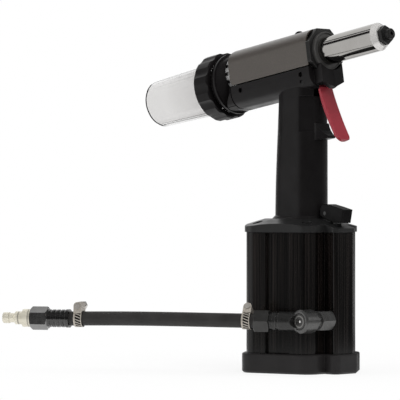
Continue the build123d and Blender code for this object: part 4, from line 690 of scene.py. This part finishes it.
def make_own_finishes():
    """Finishes of single pieces that differ from the rest of their material."""
    swivel = machined(
        "swivel_steel", rgb(0.085, 0.084, 0.083), rgb(0.115, 0.114, 0.112), HOSE_AXIS,
        rough=0.25, edge_light=rgb(0.3, 0.295, 0.29), metallic=0.75,
        zones=((9.0, 60.0, rgb(0.045, 0.0445, 0.044)),))
    return {
        # Painted shade darkens the nut's rear stretch, and a painted highlight lightens its front
        # ring
        "front_nut": machined(
            "nut_steel", rgb(0.016, 0.0155, 0.015), rgb(0.024, 0.0235, 0.023), HEAD_AXIS,
            rough=0.34, edge_light=rgb(0.12, 0.117, 0.112), metallic=0.4,
            zones=((30.0, 34.6, rgb(0.005, 0.0049, 0.0047)),
                   (35.2, 38.2, rgb(0.072, 0.070, 0.067)))),
        "nosepiece": machined(
            "nose_steel", rgb(0.013, 0.0128, 0.0126), rgb(0.020, 0.0197, 0.0194), HEAD_AXIS,
            rough=0.3, edge_light=grey(0.10), metallic=0.35, specular=0.2),
        # Painted highlight: the sleeve's front end is painted lighter and made less metallic, in
        # place of the light it catches
        "nose_sleeve": machined(
            "sleeve_steel", POLISHED_DARK, POLISHED_LIGHT, HEAD_AXIS,
            rough=0.07, pitch=0.3, streak=0.03, handled=0.03,
            zones=((*SLEEVE_END, rgb(0.70, 0.685, 0.67)),), dull=(*SLEEVE_END, 0.35)),
        "oil_plug": machined(
            "plug_steel", grey(0.004), grey(0.008), UPRIGHT_AXIS,
            rough=0.7, edge_light=grey(0.02), metallic=0.0, specular=0.05),
        "valve_lever": moulded(
            "lever_black", rgb(0.0035, 0.0033, 0.0034), rgb(0.0062, 0.0058, 0.0060),
            edge_light=grey(0.03), rough=0.34, grain=900.0, specular=0.1),
        "lever_pin": machined(
            "pin_steel", grey(0.05), grey(0.075), UPRIGHT_AXIS, rough=0.4, metallic=0.5),
        "swivel_screw": turned_face(),
        "hose_fitting": machined(
            "fitting_steel", rgb(0.20, 0.199, 0.197), rgb(0.27, 0.268, 0.265), HOSE_AXIS,
            rough=0.15, edge_light=rgb(0.4, 0.395, 0.39), streak=0.1, handled=0.06,
            zones=((190.0, 240.8, rgb(0.085, 0.084, 0.083)),)),
        "clamp_screws": machined(
            "clamp_screw_steel", rgb(0.36, 0.34, 0.31), rgb(0.48, 0.455, 0.42), HOSE_AXIS,
            rough=0.3, edge_light=rgb(0.05, 0.045, 0.04), metallic=0.45),
        "swivel_head": swivel,
        "inlet_stub": swivel,
    }


def dress(piece, finish):
    """Gives a piece one finish."""
    piece.data.materials.clear()
    piece.data.materials.append(finish)


finishes = make_finishes()
own_finishes = make_own_finishes()
for part in frame["record"]["subparts"]:
    node = part["node"]
    dress(nodes[node], own_finishes.get(node) or finishes[part["material_slot"]])
dress(hose_tube, finishes["hose_rubber"])
dress(strip_near, finishes["clamp_steel"])
dress(strip_far, finishes["clamp_steel"])
dress(end_fitting, own_finishes["hose_fitting"])
dress(swivel_body, own_finishes["swivel_head"])
dress(side_cover, finishes["gunmetal"])

# The polished sleeve would show the trigger as a red line, which the photograph doesn't have
nodes["trigger"].visible_glossy = False


# Stage: pale floor, white surroundings and soft boxes

WHITE = grey(1.0)
FILL_LEVEL = 0.55
LAMP_AIM = Vector((0, 0, 0.16))

# Panels that only the gloss sees; each edge runs from none to full, in cosines
ROOM_LEVEL = 0.2
REARWARD_EDGE = (0.15, 0.4)
LEFT_PANEL_EDGE = (0.57, 0.61)
RIGHT_PANEL_EDGE = (-0.57, -0.61)
RIGHT_PANEL_TOP = (0.16, 0.08)
ROOF_NEAR_EDGE = (0.40, 0.36)
ROOF_FAR_EDGE = (-0.72, -0.62)
ROOF_LOW_EDGE = (0.3, 0.45)
GAP_EDGES = ((0.17, 0.20), (0.31, 0.28))
SLIT_EDGES = ((0.34, 0.40), (0.62, 0.57))
DARK_SHARE = 0.9
FRONT_DARK = Vector((0.28, -0.96, 0))
FRONT_DARK_EDGE = (0.88, 0.95)
FRONT_DARK_SHARE = 0.6
BACKDROP_EDGE = (0.72, 0.95)
SHADE_SIDE_EDGE = (-0.03, 0.05)
SHADE_LOW_EDGE = (0.15, 0.25)
RIGHT_FRONT = Vector((0.62, 0.71, 0.33))
RIGHT_FRONT_EDGE = (0.97, 0.99)

# Floor: edges are distances in metres, and the bearing's is in cosines
FLOOR_SIZE = 8.0
FLOOR_DROP = 0.2 * MM
FLOOR_LEVEL = 0.1
FLOOR_COLOUR = grey(0.9)
SHADOW_EDGE = (0.1, 0.4)
SHADOW_SHARE = 0.86
SHEET_EDGE = (0.26, 0.46)
BEHIND_EDGE = (0.3, 0.6)
LEFT_FRONT = Vector((-0.7, -0.7, 0))
BEARING_EDGE = (0.75, 0.9)
BOUNCE_SPOT = Vector((-0.22, 0.0, 0))
BOUNCE_EDGE = (0.14, 0.06)
BOUNCE_LEVEL = 1.2


def studio_panels(sky):
    """What the gloss sees: a dim room, white panels left of and above the tool, dark gaps."""
    direction = sky.add("ShaderNodeTexCoord").outputs["Generated"]

    def facing(aim):
        return sky.measure("DOT_PRODUCT", direction, aim)

    rearward = sky.ramp(facing(-HEAD_ALONG), REARWARD_EDGE)
    side = facing(HEAD_SIDE)
    height = facing(UP)
    gap = sky.product(*(sky.ramp(side, edge) for edge in GAP_EDGES))
    slit = sky.product(*(sky.ramp(side, edge) for edge in SLIT_EDGES))

    left_panel = sky.ramp(side, LEFT_PANEL_EDGE)
    right_panel = sky.product(sky.ramp(side, RIGHT_PANEL_EDGE), sky.ramp(height, RIGHT_PANEL_TOP))
    roof_panel = sky.product(sky.ramp(side, ROOF_NEAR_EDGE),
                             sky.ramp(facing(HEAD_UP), ROOF_LOW_EDGE),
                             sky.ramp(side, ROOF_FAR_EDGE), sky.rest(gap))
    panels = sky.product(rearward, sky.most(left_panel, right_panel, roof_panel))

    front_dark = sky.ramp(facing(FRONT_DARK), FRONT_DARK_EDGE, high=FRONT_DARK_SHARE)
    dark = sky.most(sky.product(rearward, sky.most(slit, gap)), front_dark)
    room = sky.math("MULTIPLY_ADD", dark, -DARK_SHARE * ROOM_LEVEL, ROOM_LEVEL)

    shade = sky.product(sky.ramp(facing(VIEW_RIGHT), SHADE_SIDE_EDGE),
                        sky.ramp(height, SHADE_LOW_EDGE))
    backdrop = sky.product(sky.ramp(facing(-VIEW_BACK), BACKDROP_EDGE), sky.rest(shade))
    front_strip = sky.ramp(facing(RIGHT_FRONT), RIGHT_FRONT_EDGE)
    return sky.most(panels, backdrop, front_strip, room)


def make_world():
    """White to the camera and in clear plastic, panels in the gloss, and a plain fill light."""
    world = bpy.data.worlds.new("studio")
    world.use_nodes = True
    sky = Graph(world.node_tree)
    ray = sky.add("ShaderNodeLightPath").outputs
    fill = sky.tree.nodes["Background"]
    sky.settle(fill, {"Color": WHITE, "Strength": FILL_LEVEL})
    white = sky.add("ShaderNodeBackground", {"Color": WHITE, "Strength": 1.0})
    mirrored = sky.most(studio_panels(sky), ray["Is Transmission Ray"])
    room = sky.add("ShaderNodeBackground", {"Color": WHITE, "Strength": mirrored})
    in_gloss = sky.most(ray["Is Glossy Ray"], ray["Is Transmission Ray"])
    around = sky.choose(in_gloss, fill.outputs[0], room.outputs[0])
    view = sky.choose(ray["Is Camera Ray"], around, white.outputs[0])
    sky.settle(sky.tree.nodes["World Output"], {"Surface": view})
    bpy.context.scene.world = world


def make_floor():
    """A pale sheet that keeps the tool's shadow and fades to white away from it."""
    bpy.ops.object.select_all(action="DESELECT")
    bpy.ops.mesh.primitive_plane_add(size=FLOOR_SIZE, location=(0, 0, -FLOOR_DROP))
    floor = bpy.context.object
    floor.name = "studio_floor"
    paint = Finish("floor_white", Base_Color=FLOOR_COLOUR, Roughness=1.0, Specular_IOR_Level=0.0)
    ray = paint.add("ShaderNodeLightPath").outputs
    out = paint.measure("LENGTH", paint.place)
    behind = paint.measure("DOT_PRODUCT", paint.place, -VIEW_BACK)
    bearing = paint.math("DIVIDE", paint.measure("DOT_PRODUCT", paint.place, LEFT_FRONT), out)
    off_spot = paint.measure("DISTANCE", paint.place, BOUNCE_SPOT)
    sheet = paint.most(paint.ramp(out, SHEET_EDGE, 1.0, FLOOR_LEVEL),
                       paint.ramp(behind, BEHIND_EDGE), paint.ramp(bearing, BEARING_EDGE),
                       ray["Is Camera Ray"], ray["Is Transmission Ray"])
    bounce = paint.product(ray["Is Glossy Ray"],
                           paint.ramp(off_spot, BOUNCE_EDGE, high=BOUNCE_LEVEL))
    glow = paint.add("ShaderNodeEmission", {"Strength": paint.math("ADD", sheet, bounce)})
    seen = paint.most(ray["Is Camera Ray"], ray["Is Glossy Ray"], ray["Is Transmission Ray"])
    share = paint.product(seen, paint.ramp(out, SHADOW_EDGE, SHADOW_SHARE))
    surface = paint.choose(share, paint.shader.outputs[0], glow.outputs[0])
    paint.settle(paint.tree.nodes["Material Output"], {"Surface": surface})
    floor.data.materials.append(paint.material)


def soft_box(name, place, size, power):
    """A lamp that lights the tool but isn't seen in its gloss."""
    lamp = bpy.data.lights.new(name, "AREA")
    lamp.shape = "RECTANGLE"
    lamp.size, lamp.size_y = size
    lamp.energy = power
    holder = add_object(name, lamp)
    holder.location = place
    holder.rotation_euler = (LAMP_AIM - Vector(place)).to_track_quat("-Z", "Y").to_euler()
    holder.visible_glossy = False


make_world()
make_floor()
soft_box("key_box", place=(1.2, -0.4, 1.6), size=(1.0, 1.0), power=14.0)
soft_box("left_box", place=(-0.6, -1.6, 0.8), size=(0.7, 1.2), power=8.0)
soft_box("top_box", place=(-0.3, 0.2, 1.8), size=(1.4, 1.0), power=8.0)

bpy.context.scene.view_settings.view_transform = "Standard"
bpy.context.view_layer.update()
